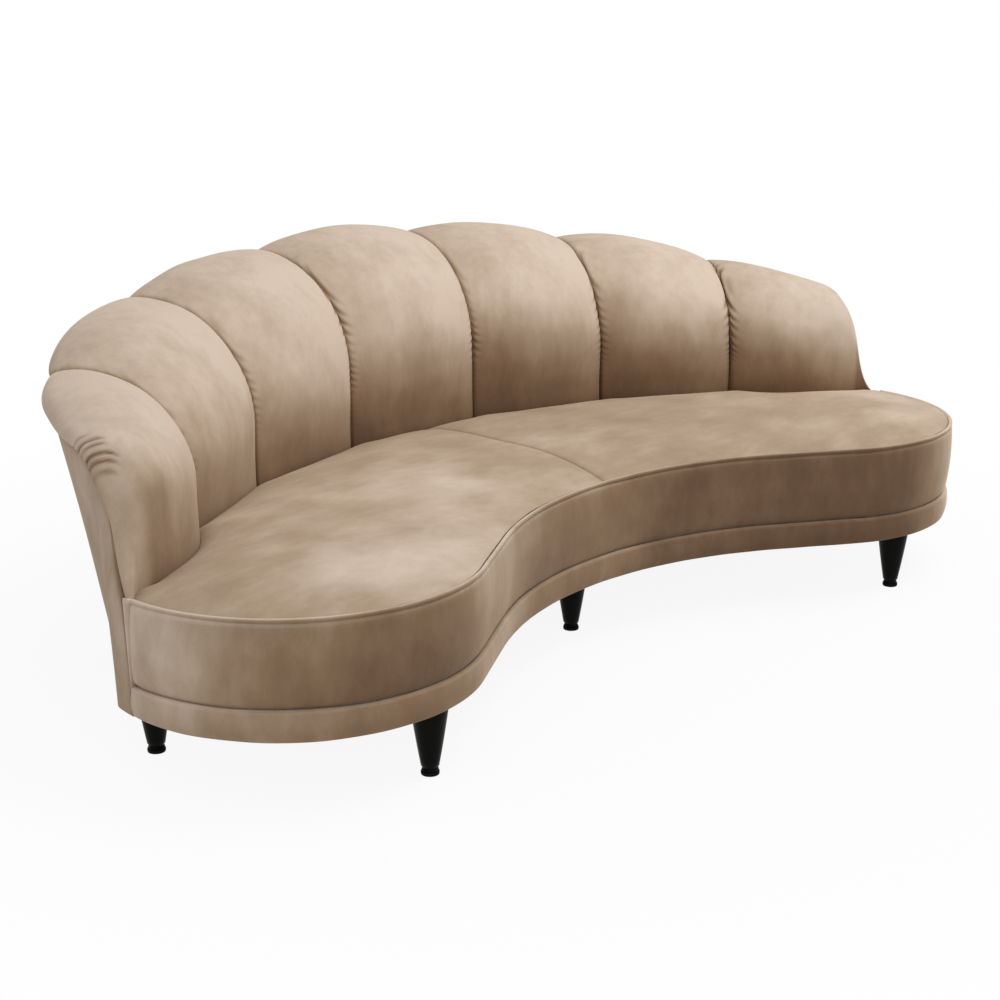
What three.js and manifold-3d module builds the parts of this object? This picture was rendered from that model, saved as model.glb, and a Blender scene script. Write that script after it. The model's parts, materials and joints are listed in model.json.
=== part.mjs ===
// Curved sofa with a fluted back, a kidney-shaped tight seat and turned legs.
// Millimetres, +Z up, +Y towards the back. The origin is on the floor, under the middle of the sofa.
import * as THREE from "three";
import { mergeVertices } from "three/addons/utils/BufferGeometryUtils.js";
import Module from "manifold-3d";

const wasm = await Module();
wasm.setup();

// Plan of the sofa, measured from the centre of the back's arc: the line where the back meets the seat,
// how deep the seat is at its middle, how far the sofa reaches behind that line, its round ends and the
// straight stretch between the front bay and each of them
const SEAT_LINE_R = 1510;
const SEAT_DEPTH = 629;
const BACK_REACH = 88;
const LOBE_R = 359;
const LOBE_ANGLE = THREE.MathUtils.degToRad(39.2);
const BAY_STRAIGHT = 187.5;

// Heights above the floor
const BASE_Z = 130;
const BAND_TOP_Z = 189;
const SEAT_EDGE_Z = 344;
const BACK_H = 434;

// Clearances: between pieces with the same facets, and with different ones
const CLEARANCE = 0.3;
const FIT_CLEARANCE = 1.2;
const END_GAP = 1.6;

// Seat
const SEAT_CROWN = 40;
const CROWN_REACH = 260;
const SEAT_CROWN_POWER_SHARE = 2.4;
const SEAT_TUCK = 36;
const TUCK_REACH = 55;
const PAD_EDGE_H = 6;
const PIPING_R = 4.5;
const PIPING_END_GAP = 12;
const BORDER_T = 20;
const BORDER_BACKING = 1.3;
const BORDER_LEAN = 7;
const BORDER_BULGE = 4;
const BAND_PROUD = 5;
const BAND_BASE_INSET = 9;

// Back: the seam line of its section, the crown of its channels and its outer panel
const CREST_OUT = 245;
const CREST_RISE_SHARE = 0.5184;
const CREST_DROP_SHARE = 0.4885;
const CREST_DROP_POWER_SHARE = 1.75;
const CREST_OUT_POWER_SHARE = 4.5;
const ARM_OUT = 5;
const CORNER_SHARE = 0.935;
const ARM_END_SHARE = 0.2212;
const ROLL_OUT = 40;
const ROLL_DOWN = 75;
const ROLL_THIN = 6;
const ROLL_POWER_SHARE = 1.5;
const ROLL_FADE_SHARE = 2;
const CHANNEL_T = 14;
const CHANNEL_CROWN = 30;
const ARM_CROWN = 52;
const ARM_END_CROWN = 43;
const NOSE_SHARE = 0.975;
const NOSE_LOSS_SHARE = 0.7;
const CROWN_CREST_SHARE = 0.65;
const ARM_CREST_SHARE = 0.3;
const SEAM_LEAN = 24;
const ARM_LEAN = 24;
const ARM_LEAN_SHARE = 0.72;
const CROWN_ROLL_SHARE = 0.6;
const ARM_ROLL_SHARE = 0.3;
const CROWN_POWER_SHARE = 0.75;
const CROWN_FOOT_SHARE = 0.6;
const CROWN_FOOT_H = 45;
const CROWN_FOOT_REACH = 90;
const PANEL_T = 8;
const PANEL_TOP_GAP = 7;
const PANEL_BASE_INSET = 43;
const PANEL_SLANT_SHARE = 1.35;
const EDGE_INSET = 25;
const SEAM_SHARES = [-1, -0.728, -0.449, -0.156, 0.156, 0.449, 0.728, 1];
const CLOSE_SHARE = 0.93;

// Frame
const BOARD_T = 18;
const BOARD_LIFT = 2;
const CLOTH_T = 1.5;
const FACING_T = 4;
const SKIN_T = 6;
const RIB_T = 18;
const RIB_GAP = 2.4;
const RIB_STEP = 6;
const RAIL_W = 60;
const RAIL_H = 60;
const RAIL_TOP_Z = 265;
const REAR_RAIL_W = 45;
const TOP_RAIL_H = 40;
const TIE_W = 30;
const TIE_H = 45;
const TIE_X = 420;
const FRAME_END_SHARE = 0.83;
const REAR_END_SHARE = 0.92;
const TOP_RAIL_ANGLE = THREE.MathUtils.degToRad(66);
const SKIN_TOP_ANGLE = THREE.MathUtils.degToRad(63);

// Webbing under the seat
const STRAP_W = 80;
const STRAP_T = 2.5;
const STRAP_PITCH = 200;
const STRAP_EDGE = 34;

// Legs, their bolts, blocks and glides
const LEG_TOP_R = 33.5;
const LEG_NECK_R = 13;
const LEG_FOOT_R = 15.5;
const LEG_FOOT_H = 7;
const LEG_NECK_H = 9;
const GLIDE_R = 17;
const GLIDE_H = 8;
const GLIDE_EDGE = 2;
const PIN_R = 2;
const PIN_L = 12;
const BOLT_R = 5;
const BOLT_GRIP = 40;
const BLOCK_W = 44;
const FRONT_LEG_INSET = 49;
const SIDE_LEG_INSET = 93;
const CENTRE_LEG_INSET = 103;
const REAR_LEG_INSET = 98;
const FRONT_LEG_ANGLE = THREE.MathUtils.degToRad(-98.3);
const SIDE_LEG_ANGLE = THREE.MathUtils.degToRad(27.8);
const REAR_LEG_ANGLE = THREE.MathUtils.degToRad(14.6);

// Where the corners of a channel's section lie, as shares of its wall, crest and roll
const WALL_SHARES = [0, 0.35, 0.7];
const CREST_SHARES = [0, 0.25, 0.5, 0.75, 1];
const ROLL_SHARES = [0.33, 0.67, 1];

// Where the corners of the band, the seat's sections and the outer panel lie, as shares
const BAND_SHARES = [0.15, 0.5, 0.85];
const SEAT_SHARES = [0, 0.025, 0.08, 0.2, 0.4, 0.62, 0.82, 0.94, 1];
const SEAT_TIP_SHARE = 0.96;
const PANEL_SHARES = [0, 0.2, 0.4, 0.6, 0.72, 0.82, 0.92, 1];
const NORMAL_STEP_SHARE = 0.002;
const PANEL_FACING_SHARE = 0.5;

// Where a leg bends a little between its neck and its top, as shares of their radii and heights
const LEG_BEND_R_SHARE = 0.52;
const LEG_BEND_Z_SHARE = 0.45;

// How finely the curves are cut
const LOBE_STEPS = 16;
const ARC_STEPS = 10;
const REAR_STEPS = 28;
const CHANNEL_STEPS = 8;
const SKIN_STEPS = 6;
const RIB_WALL_STEPS = 4;
const HALVINGS = 20;
const ARM_STEPS = 12;
const TIP_STEPS = 6;
const LEG_SIDES = 14;
const SMALL_SIDES = 10;
const PIPING_STEPS = 70;
const PIPING_SIDES = 8;

// Colours
const finishes = {
  velvet: { color: 0xb59a7e, roughness: 0.85, metalness: 0 },
  lacquer: { color: 0x14110f, roughness: 0.3, metalness: 0 },
  glide: { color: 0x0e0e0e, roughness: 0.5, metalness: 0 },
  beech: { color: 0xc9a574, roughness: 0.7, metalness: 0 },
  plywood: { color: 0xd2b48a, roughness: 0.8, metalness: 0 },
  webbing: { color: 0x5b5148, roughness: 0.9, metalness: 0 },
  foam: { color: 0xe6dcc0, roughness: 1, metalness: 0 },
  liningCloth: { color: 0x1c1b1a, roughness: 1, metalness: 0 },
  steel: { color: 0x9a9da0, roughness: 0.4, metalness: 1 },
};

// Values worked out from the sizes above
const REAR_R = SEAT_LINE_R + BACK_REACH;
const LOBE_DISTANCE = REAR_R - LOBE_R;
const LOBE_X = LOBE_DISTANCE * Math.sin(LOBE_ANGLE);
const LOBE_Y = LOBE_DISTANCE * Math.cos(LOBE_ANGLE);
const LOBE_RISE = LOBE_Y - SEAT_LINE_R + SEAT_DEPTH;
const FRONT_ARC_R = frontArcRadius();
const FRONT_ARC_Y = SEAT_LINE_R - SEAT_DEPTH - FRONT_ARC_R;
const BETWEEN_ARCS_ANGLE = Math.atan2(BAY_STRAIGHT, FRONT_ARC_R + LOBE_R);
const TANGENT_ANGLE = Math.atan2(LOBE_X, LOBE_Y - FRONT_ARC_Y) - BETWEEN_ARCS_ANGLE;
const BACK_SEAM_Z = SEAT_EDGE_Z + BACK_H;
const END_ANGLE = LOBE_ANGLE + cosineAngle(SEAT_LINE_R, LOBE_DISTANCE, LOBE_R - EDGE_INSET);
const BOARD_Z = BASE_Z + BOARD_LIFT;
const BOARD_TOP_Z = BOARD_Z + BOARD_T;
const FRAME_INSET = BORDER_T + BORDER_BACKING;
const RAIL_INSET = FRAME_INSET + FACING_T + CLEARANCE;
const RAIL_BOTTOM_Z = RAIL_TOP_Z - RAIL_H;
const SKIN_R = SEAT_LINE_R + CHANNEL_T + FIT_CLEARANCE;
const WEB_TOP_Z = RAIL_TOP_Z + CLEARANCE + STRAP_T;

// Radius of the front bay, from the lines that touch it and the round ends
function frontArcRadius() {
  const square = LOBE_X ** 2 + LOBE_RISE ** 2 - LOBE_R ** 2 - BAY_STRAIGHT ** 2;
  return square / (2 * (LOBE_R - LOBE_RISE));
}

function cosineAngle(a, b, opposite) {
  return Math.acos((a * a + b * b - opposite * opposite) / (2 * a * b));
}

function mix(a, b, share) {
  return a + (b - a) * share;
}

function polar(angle, radius, z) {
  return new THREE.Vector3(radius * Math.sin(angle), radius * Math.cos(angle), z);
}

function spread(from, to, steps) {
  return Array.from({ length: steps + 1 }, (_, i) => mix(from, to, i / steps));
}

// Distance from the back's arc centre to the far side of the outline, inset by a margin
function outlineRadius(angle, inset) {
  const turn = Math.abs(angle) - LOBE_ANGLE;
  if (turn <= 0) return REAR_R - inset;
  const r = LOBE_R - inset;
  const across = LOBE_DISTANCE * Math.sin(turn);
  return LOBE_DISTANCE * Math.cos(turn) + Math.sqrt(Math.max(0, r * r - across * across));
}

// Distance from the back's arc centre to the near side of the outline, inset by a margin
function nearRadius(angle, inset) {
  const a = Math.abs(angle);
  const r = FRONT_ARC_R + inset;
  const across = FRONT_ARC_Y * Math.sin(a);
  const arcHit = FRONT_ARC_Y * Math.cos(a) + Math.sqrt(r * r - across * across);
  const arcEnd = Math.atan2(r * Math.sin(TANGENT_ANGLE), FRONT_ARC_Y + r * Math.cos(TANGENT_ANGLE));
  if (a <= arcEnd) return arcHit;
  const lobe = LOBE_R - inset;
  const touchX = LOBE_X - lobe * Math.sin(TANGENT_ANGLE);
  const touchY = LOBE_Y - lobe * Math.cos(TANGENT_ANGLE);
  if (a <= Math.atan2(touchX, touchY)) {
    return (r + FRONT_ARC_Y * Math.cos(TANGENT_ANGLE)) / Math.cos(a - TANGENT_ANGLE);
  }
  const turn = a - LOBE_ANGLE;
  const side = LOBE_DISTANCE * Math.sin(turn);
  return LOBE_DISTANCE * Math.cos(turn) - Math.sqrt(Math.max(0, lobe * lobe - side * side));
}

// Distance of a plan point inside the front outline
function frontDistance(x, y) {
  const px = Math.abs(x);
  const turn = Math.atan2(px, y - FRONT_ARC_Y);
  if (turn < TANGENT_ANGLE) return Math.hypot(px, y - FRONT_ARC_Y) - FRONT_ARC_R;
  const along = (px - LOBE_X) * Math.cos(TANGENT_ANGLE) - (y - LOBE_Y) * Math.sin(TANGENT_ANGLE);
  if (along < 0) {
    return px * Math.sin(TANGENT_ANGLE) + (y - FRONT_ARC_Y) * Math.cos(TANGENT_ANGLE) - FRONT_ARC_R;
  }
  return LOBE_R - Math.hypot(px - LOBE_X, y - LOBE_Y);
}

// Stations along the front outline from the right arm to the left one: a place and its inward normal
const endX = outlineRadius(END_ANGLE, 0) * Math.sin(END_ANGLE);
const endY = outlineRadius(END_ANGLE, 0) * Math.cos(END_ANGLE);
const LOBE_END_ANGLE = Math.atan2(endY - LOBE_Y, endX - LOBE_X);

function lobeStation(angle) {
  const nx = -Math.cos(angle);
  const ny = -Math.sin(angle);
  return { x: LOBE_X - LOBE_R * nx, y: LOBE_Y - LOBE_R * ny, nx, ny };
}

function arcStation(angle) {
  const nx = Math.sin(angle);
  const ny = Math.cos(angle);
  return { x: FRONT_ARC_R * nx, y: FRONT_ARC_Y + FRONT_ARC_R * ny, nx, ny };
}

function frontStations(endGap) {
  const start = LOBE_END_ANGLE - endGap / LOBE_R;
  const touch = -Math.PI / 2 - TANGENT_ANGLE;
  const right = spread(start, touch, LOBE_STEPS).map(lobeStation);
  const middle = spread(TANGENT_ANGLE, -TANGENT_ANGLE, ARC_STEPS).map(arcStation);
  const left = right.map((s) => ({ x: -s.x, y: s.y, nx: -s.nx, ny: s.ny })).reverse();
  return [...right, ...middle, ...left];
}

function stationPoint(station, inset, z) {
  return new THREE.Vector3(station.x + inset * station.nx, station.y + inset * station.ny, z);
}

// Section of the back in the upright plane at a share u of its half angle
function closing(u) {
  const x = Math.min(1, Math.max(0, (1 - Math.abs(u)) / (1 - CLOSE_SHARE)));
  return x * x * (3 - 2 * x);
}

// The crest falls towards the arms and ends in a rounded corner
function crestHeight(u) {
  const a = Math.abs(u);
  const fall = (share) => BACK_SEAM_Z - CREST_DROP_SHARE * BACK_H * share ** CREST_DROP_POWER_SHARE;
  if (a <= CORNER_SHARE) return fall(a);
  const along = Math.min(1, (a - CORNER_SHARE) / (1 - CORNER_SHARE));
  return mix(SEAT_EDGE_Z + ARM_END_SHARE * BACK_H, fall(a), Math.sqrt(1 - along * along));
}

function crestOut(u) {
  return mix(ARM_OUT, CREST_OUT, 1 - Math.abs(u) ** CREST_OUT_POWER_SHARE);
}

function crestRise(u) {
  return ((CREST_RISE_SHARE * BACK_H) / CREST_OUT) * crestOut(u);
}

// The roll over the crest thins out towards the arms
function rollOut(u) {
  return ROLL_OUT * (1 - Math.abs(u) ** CREST_OUT_POWER_SHARE);
}

function rollDown(u) {
  const a = Math.abs(u);
  return mix(ROLL_THIN, ROLL_DOWN, (1 - a ** ROLL_POWER_SHARE) ** ROLL_FADE_SHARE);
}

// How far the seams lean over the seat at its level
function seamLean(u) {
  const a = Math.abs(u);
  if (a <= ARM_LEAN_SHARE) return SEAM_LEAN + ARM_LEAN * (a / ARM_LEAN_SHARE) ** 2;
  const left = (1 - a) / (1 - ARM_LEAN_SHARE);
  return (SEAM_LEAN + ARM_LEAN) * left * (2 - left);
}

// A point of the section: out from the seat line and up, with the way its surface faces
function wallPoint(z, depth) {
  return { s: depth, z, fs: -1, fz: 0 };
}

function ellipsePoint(cs, cz, rs, rz, angle, depth) {
  const fs = Math.cos(angle) / rs;
  const fz = Math.sin(angle) / rz;
  const size = Math.hypot(fs, fz);
  const point = { s: cs + rs * Math.cos(angle), z: cz + rz * Math.sin(angle), fs: fs / size, fz: fz / size };
  point.s -= depth * point.fs;
  point.z -= depth * point.fz;
  return point;
}

function crestPoint(u, angle, depth) {
  const out = crestOut(u);
  const rise = crestRise(u);
  return ellipsePoint(out, crestHeight(u) - rise, out, rise, Math.PI - angle, depth);
}

function rollPoint(u, angle, depth) {
  const down = rollDown(u);
  const out = Math.max(rollOut(u), CLEARANCE);
  return ellipsePoint(crestOut(u), crestHeight(u) - down, out, down, Math.PI / 2 - angle, depth);
}

function sectionPoint(u, point) {
  return polar(u * END_ANGLE, SEAT_LINE_R + point.s, point.z);
}

// Outer face of the back: straight from the base to the roll, closing on the inner face at the arm ends
function outerPoint(u, share) {
  const angle = u * END_ANGLE;
  const rimZ = crestHeight(u) - rollDown(u);
  const z = mix(BASE_Z, rimZ, share);
  const slant = mix(outlineRadius(angle, PANEL_BASE_INSET) - SEAT_LINE_R, crestOut(u) + rollOut(u), share);
  const above = Math.max(0, z - SEAT_EDGE_Z) / Math.max(CLEARANCE, rimZ - SEAT_EDGE_Z);
  const lobe = mix(outlineRadius(angle, frontInset(z)) - SEAT_LINE_R, crestOut(u) + rollOut(u), above);
  return { s: mix(lobe, slant, closing(u)), z };
}

// How far the front outline leans in at a height
function frontInset(z) {
  if (z >= SEAT_EDGE_Z) return 0;
  if (z >= BAND_TOP_Z) return mix(BORDER_LEAN, 0, (z - BAND_TOP_Z) / (SEAT_EDGE_Z - BAND_TOP_Z));
  return mix(BAND_BASE_INSET, BORDER_LEAN, (z - BASE_Z) / (BAND_TOP_Z - BASE_Z));
}

// Triangles of an end section, turned the way that its corners run
function capFaces(corners) {
  const faces = THREE.ShapeUtils.triangulateShape(corners, []);
  const area = faces.reduce((sum, face) => sum + THREE.ShapeUtils.area(face.map((i) => corners[i])), 0);
  return area > 0 === THREE.ShapeUtils.area(corners) > 0 ? faces : faces.map(([p, q, r]) => [r, q, p]);
}

// A closed solid through sections with the same number of corners
function loft(sections, flatCorners) {
  const corners = sections[0].length;
  const last = (sections.length - 1) * corners;
  const positions = sections.flat().flatMap((p) => [p.x, p.y, p.z]);
  const faces = [];
  for (let i = 0; i + 1 < sections.length; i += 1) {
    for (let j = 0; j < corners; j += 1) {
      const a = i * corners + j;
      const b = i * corners + ((j + 1) % corners);
      faces.push(a, b, b + corners, a, b + corners, a + corners);
    }
  }
  for (const [p, q, r] of capFaces(flatCorners[0])) faces.push(r, q, p);
  for (const [p, q, r] of capFaces(flatCorners[1])) faces.push(last + p, last + q, last + r);
  const geometry = new THREE.BufferGeometry();
  geometry.setAttribute("position", new THREE.Float32BufferAttribute(positions, 3));
  geometry.setIndex(faces);
  return facingOut(geometry);
}

function signedVolume(geometry) {
  const p = geometry.attributes.position;
  const index = geometry.index.array;
  const a = new THREE.Vector3();
  const b = new THREE.Vector3();
  const c = new THREE.Vector3();
  let volume = 0;
  for (let i = 0; i < index.length; i += 3) {
    a.fromBufferAttribute(p, index[i]);
    b.fromBufferAttribute(p, index[i + 1]);
    c.fromBufferAttribute(p, index[i + 2]);
    volume += a.dot(b.cross(c));
  }
  return volume;
}

function facingOut(geometry) {
  if (signedVolume(geometry) < 0) {
    const index = geometry.index.array;
    for (let i = 0; i < index.length; i += 3) [index[i], index[i + 1]] = [index[i + 1], index[i]];
  }
  return geometry;
}

// A solid along the front outline, from corners written as inset and height, with its ends cut square
// to the outline or by a plane through the arc's centre
function alongFront(corners, meetsPanel) {
  const sectionAt = (station) => corners.map(([inset, z]) => stationPoint(station, inset, z));
  const sections = frontStations(CLEARANCE).map(sectionAt);
  if (meetsPanel) {
    const angle = END_ANGLE + END_GAP / SEAT_LINE_R;
    const end = corners.map(([inset, z]) => polar(angle, outlineRadius(angle, inset), z));
    sections[0] = end;
    sections[sections.length - 1] = end.map((p) => p.clone().setX(-p.x));
  }
  const flat = corners.map(([inset, z]) => new THREE.Vector2(inset, z));
  return loft(sections, [flat, flat]);
}

// A solid round the back, from a section at each share of the half angle
function aroundBack(shares, sectionAt) {
  const sections = shares.map(sectionAt);
  const flats = [sections[0], sections.at(-1)].map((s) => s.map((p) => new THREE.Vector2(p.s, p.z)));
  return loft(sections.map((s, i) => s.map((p) => sectionPoint(shares[i], p))), flats);
}

// Booleans
function toManifold(geometry) {
  const plain = geometry.clone();
  plain.deleteAttribute("normal");
  plain.deleteAttribute("uv");
  const merged = mergeVertices(plain);
  return new wasm.Manifold(new wasm.Mesh({
    numProp: 3,
    vertProperties: Float32Array.from(merged.attributes.position.array),
    triVerts: Uint32Array.from(merged.index.array),
  }));
}

function toGeometry(manifold) {
  const mesh = manifold.getMesh();
  const geometry = new THREE.BufferGeometry();
  geometry.setAttribute("position", new THREE.BufferAttribute(new Float32Array(mesh.vertProperties), 3));
  geometry.setIndex(Array.from(mesh.triVerts));
  return geometry;
}

function cutAway(geometry, cutters) {
  return toGeometry(cutters.reduce((body, c) => body.subtract(toManifold(c)), toManifold(geometry)));
}

function prism(points, bottomZ, topZ) {
  const shape = new THREE.Shape(points.map((p) => new THREE.Vector2(p.x, p.y)));
  const solid = new THREE.ExtrudeGeometry(shape, { depth: topZ - bottomZ, bevelEnabled: false });
  return solid.translate(0, 0, bottomZ);
}

function cylinder(x, y, radius, bottomZ, topZ, sides) {
  const solid = new THREE.CylinderGeometry(radius, radius, topZ - bottomZ, sides);
  return solid.rotateX(Math.PI / 2).translate(x, y, (bottomZ + topZ) / 2);
}

// Plan shapes between the front outline and an arc behind the seat
function seatPlan(inset, rearRadius) {
  const front = frontStations(CLEARANCE).map((s) => stationPoint(s, inset, 0));
  const rear = spread(-1, 1, REAR_STEPS)
    .filter((u) => Math.abs(u) <= REAR_END_SHARE)
    .map((u) => polar(u * END_ANGLE, rearRadius, 0));
  return [...front, ...rear];
}

function basePlan(inset) {
  const front = frontStations(CLEARANCE).map((s) => stationPoint(s, inset, 0));
  const rearRadius = (u) => SEAT_LINE_R + outerPoint(u, 0).s - PANEL_T * PANEL_SLANT_SHARE - CLEARANCE;
  const rear = spread(-1, 1, REAR_STEPS)
    .slice(1, -1)
    .map((u) => polar(u * END_ANGLE, rearRadius(u), 0));
  return [...front, ...rear];
}

const sofa = new THREE.Group();

function add(name, geometry, finish) {
  const mesh = new THREE.Mesh(geometry, new THREE.MeshStandardMaterial(finishes[finish]));
  mesh.name = name;
  sofa.add(mesh);
}

// Seat height at a plan point: crowned from the piping, tucked down at the back
function seatTop(x, y, backRadius) {
  const inFront = Math.min(1, Math.max(0, frontDistance(x, y) - 2 * PIPING_R) / CROWN_REACH);
  const behind = Math.max(0, backRadius - Math.hypot(x, y));
  const rise = SEAT_CROWN * (1 - (1 - inFront) ** SEAT_CROWN_POWER_SHARE);
  const tuck = Math.min(rise, SEAT_TUCK) * Math.exp(-behind / TUCK_REACH);
  return SEAT_EDGE_Z + CLEARANCE + PAD_EDGE_H + rise - tuck;
}

// Crown of a channel at w, from -1 to 1 across it; an arm's channel stays full up to its end
function channelCrown(index, w) {
  if (!isArm(index)) return CHANNEL_CROWN * Math.max(0, 1 - w * w) ** CROWN_POWER_SHARE;
  const outward = index === 0 ? -w : w;
  if (outward <= 0) return ARM_CROWN * Math.max(0, 1 - w * w) ** CROWN_POWER_SHARE;
  const end = SEAM_SHARES.at(-1);
  const u = mix(end, SEAM_SHARES.at(-2), (1 - outward) / 2);
  const nose = Math.max(0, u - NOSE_SHARE) / (1 - NOSE_SHARE);
  return mix(ARM_CROWN, ARM_END_CROWN, outward * outward) * Math.sqrt(1 - NOSE_LOSS_SHARE * nose * nose);
}

function isArm(index) {
  return index === 0 || index === SEAM_SHARES.length - 2;
}

function footCrown(u) {
  const index = SEAM_SHARES.findIndex((s, i) => u >= s && u <= SEAM_SHARES[i + 1]);
  if (index < 0) return 0;
  const from = SEAM_SHARES[index];
  const to = SEAM_SHARES[index + 1];
  return channelCrown(index, (2 * u - from - to) / (to - from)) * footShare(index) + seamLean(u);
}

function footShare(index) {
  return isArm(index) ? 1 : CROWN_FOOT_SHARE;
}

// Shares of the half angle across a channel, closer together at its seams
function channelShares(index, gap) {
  const from = SEAM_SHARES[index] + gap;
  const to = SEAM_SHARES[index + 1] - gap;
  const steps = isArm(index) ? ARM_STEPS : CHANNEL_STEPS;
  return spread(0, Math.PI, steps).map((a) => mix(from, to, (1 - Math.cos(a)) / 2));
}

// Angles of the seat's sections: at the channels' own shares, then round the tip of the lobe
function padAngles(reach) {
  const shares = SEAM_SHARES.slice(0, -1).flatMap((_, i) => channelShares(i, 0).slice(0, -1));
  const behind = shares.filter((u) => u > CLEARANCE / SEAT_LINE_R).map((u) => u * END_ANGLE);
  const tip = spread(0, SEAT_TIP_SHARE, TIP_STEPS).map((t) => reach - (reach - END_ANGLE) * (1 - t) ** 2);
  return [CLEARANCE / 2 / SEAT_LINE_R, ...behind, ...tip];
}

function seatPads() {
  const inset = 2 * PIPING_R + FIT_CLEARANCE;
  const reach = LOBE_ANGLE + Math.asin((LOBE_R - inset) / LOBE_DISTANCE);
  const bottom = SEAT_EDGE_Z + CLEARANCE;
  for (const [name, side] of [["seat_pad_right", 1], ["seat_pad_left", -1]]) {
    const sections = padAngles(reach).map((angle) => {
      const near = nearRadius(angle, inset);
      const back = SEAT_LINE_R - FIT_CLEARANCE - footCrown(angle / END_ANGLE);
      const far = Math.min(back, outlineRadius(angle, inset));
      const top = SEAT_SHARES.map((v) => {
        const p = polar(angle, mix(near, far, v), 0);
        return polar(side * angle, mix(near, far, v), seatTop(p.x, p.y, back));
      });
      return [...top, polar(side * angle, far, bottom), polar(side * angle, near, bottom)];
    });
    const flat = (s) => s.map((p) => new THREE.Vector2(Math.hypot(p.x, p.y), p.z));
    add(name, loft(sections, [flat(sections[0]), flat(sections.at(-1))]), "velvet");
  }
}

function seatEdge() {
  const path = new THREE.CatmullRomCurve3(
    frontStations(PIPING_END_GAP).map((s) => stationPoint(s, PIPING_R, SEAT_EDGE_Z + PIPING_R)),
  );
  const turns = spread(0, 2 * Math.PI, PIPING_SIDES).slice(0, -1);
  const round = turns.map((a) => new THREE.Vector2(PIPING_R * Math.cos(a), PIPING_R * Math.sin(a)));
  const options = { steps: PIPING_STEPS, extrudePath: path, bevelEnabled: false };
  add("seat_piping", new THREE.ExtrudeGeometry(new THREE.Shape(round), options), "velvet");
  const mid = (BAND_TOP_Z + SEAT_EDGE_Z) / 2;
  add("front_border", alongFront([
    [0, SEAT_EDGE_Z - CLEARANCE],
    [BORDER_LEAN / 2 - BORDER_BULGE, mid],
    [BORDER_LEAN, BAND_TOP_Z + CLEARANCE],
    [BORDER_T, BAND_TOP_Z + CLEARANCE],
    [BORDER_T, SEAT_EDGE_Z - CLEARANCE],
  ], true), "velvet");
  add("base_band", alongFront([
    [BORDER_LEAN, BAND_TOP_Z],
    ...BAND_SHARES.slice(0, 2).map((share) => [BORDER_LEAN - BAND_PROUD, mix(BAND_TOP_Z, BASE_Z, share)]),
    [BAND_BASE_INSET - BAND_PROUD / 2, mix(BAND_TOP_Z, BASE_Z, BAND_SHARES[2])],
    [BAND_BASE_INSET, BASE_Z],
    [FRAME_INSET - CLEARANCE, BASE_Z],
    [FRAME_INSET - CLEARANCE, BAND_TOP_Z],
  ], true), "velvet");
}

// Angles round the crest at which the skin and the top rail have their edges
function skinAngles() {
  return spread(0, SKIN_TOP_ANGLE, SKIN_STEPS);
}

function railAngles() {
  return spread(TOP_RAIL_ANGLE, Math.PI / 2, 2);
}

// Back channels: a crowned cover over foam, from the seat over the crest to the outer panel
function channelSection(index, u, w) {
  const crown = channelCrown(index, w);
  const crestShare = isArm(index) ? ARM_CREST_SHARE : CROWN_CREST_SHARE;
  const rollShare = isArm(index) ? ARM_ROLL_SHARE : CROWN_ROLL_SHARE;
  const lean = seamLean(u);
  const footZ = SEAT_EDGE_Z + 2 * CLEARANCE;
  const kneeZ = Math.max(crestHeight(u) - crestRise(u), footZ + CROWN_FOOT_H);
  const rimZ = crestHeight(u) - rollDown(u);
  const rimWall = innerWallAt(u, rimZ - PANEL_TOP_GAP) - 2 * FIT_CLEARANCE;
  const depth = Math.min(CHANNEL_T, rimWall, innerWallAt(u, footZ) - FIT_CLEARANCE);
  const wall = [footZ, ...WALL_SHARES.map((share) => mix(footZ + CROWN_FOOT_H, kneeZ, share))];
  const face = wall.map((z) => {
    const above = Math.max(0, z - footZ - CROWN_FOOT_H) / CROWN_FOOT_REACH;
    return wallPoint(z, -crown * mix(footShare(index), 1, Math.min(1, above)) - lean);
  });
  for (const share of CREST_SHARES) {
    face.push(crestPoint(u, (share * Math.PI) / 2, -crown * mix(1, crestShare, share) - lean * (1 - share)));
  }
  for (const share of ROLL_SHARES) {
    const roll = mix(crestShare, rollShare, share);
    face.push(rollPoint(u, (share * Math.PI) / 2, -crown * roll));
  }
  const back = [rollPoint(u, Math.PI / 2, rollOut(u) / 2 + CLEARANCE)];
  for (const angle of [...skinAngles(), ...railAngles()].reverse()) back.push(crestPoint(u, angle, depth));
  back.push(wallPoint(footZ, depth));
  const lowest = crestHeight(u) - CHANNEL_T;
  const fitted = back.map((p, i) => {
    return { s: Math.min(p.s, rimWall), z: Math.min(p.z, Math.max(rimZ - i * CLEARANCE, lowest)) };
  });
  return [...face, ...fitted];
}

function backChannels() {
  for (let i = 0; i + 1 < SEAM_SHARES.length; i += 1) {
    const shares = channelShares(i, CLEARANCE / 2 / SEAT_LINE_R / END_ANGLE);
    const middle = (shares[0] + shares.at(-1)) / 2;
    const half = shares.at(-1) - middle;
    const geometry = aroundBack(shares, (u) => channelSection(i, u, (u - middle) / half));
    add(`back_channel_${i + 1}`, geometry, "velvet");
  }
}

// How far the outer panel reaches inwards from its outer face at a place
function panelDepth(u, share) {
  const at = (a, b) => sectionPoint(a, outerPoint(a, b));
  const u0 = Math.max(-1, u - NORMAL_STEP_SHARE);
  const u1 = Math.min(1, u + NORMAL_STEP_SHARE);
  const v0 = Math.max(0, share - NORMAL_STEP_SHARE);
  const v1 = Math.min(1, share + NORMAL_STEP_SHARE);
  const across = at(u1, share).sub(at(u0, share));
  const normal = at(u, v1).sub(at(u, v0)).cross(across).normalize();
  return PANEL_T / Math.max(PANEL_FACING_SHARE, Math.abs(normal.dot(polar(u * END_ANGLE, 1, 0))));
}

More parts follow.
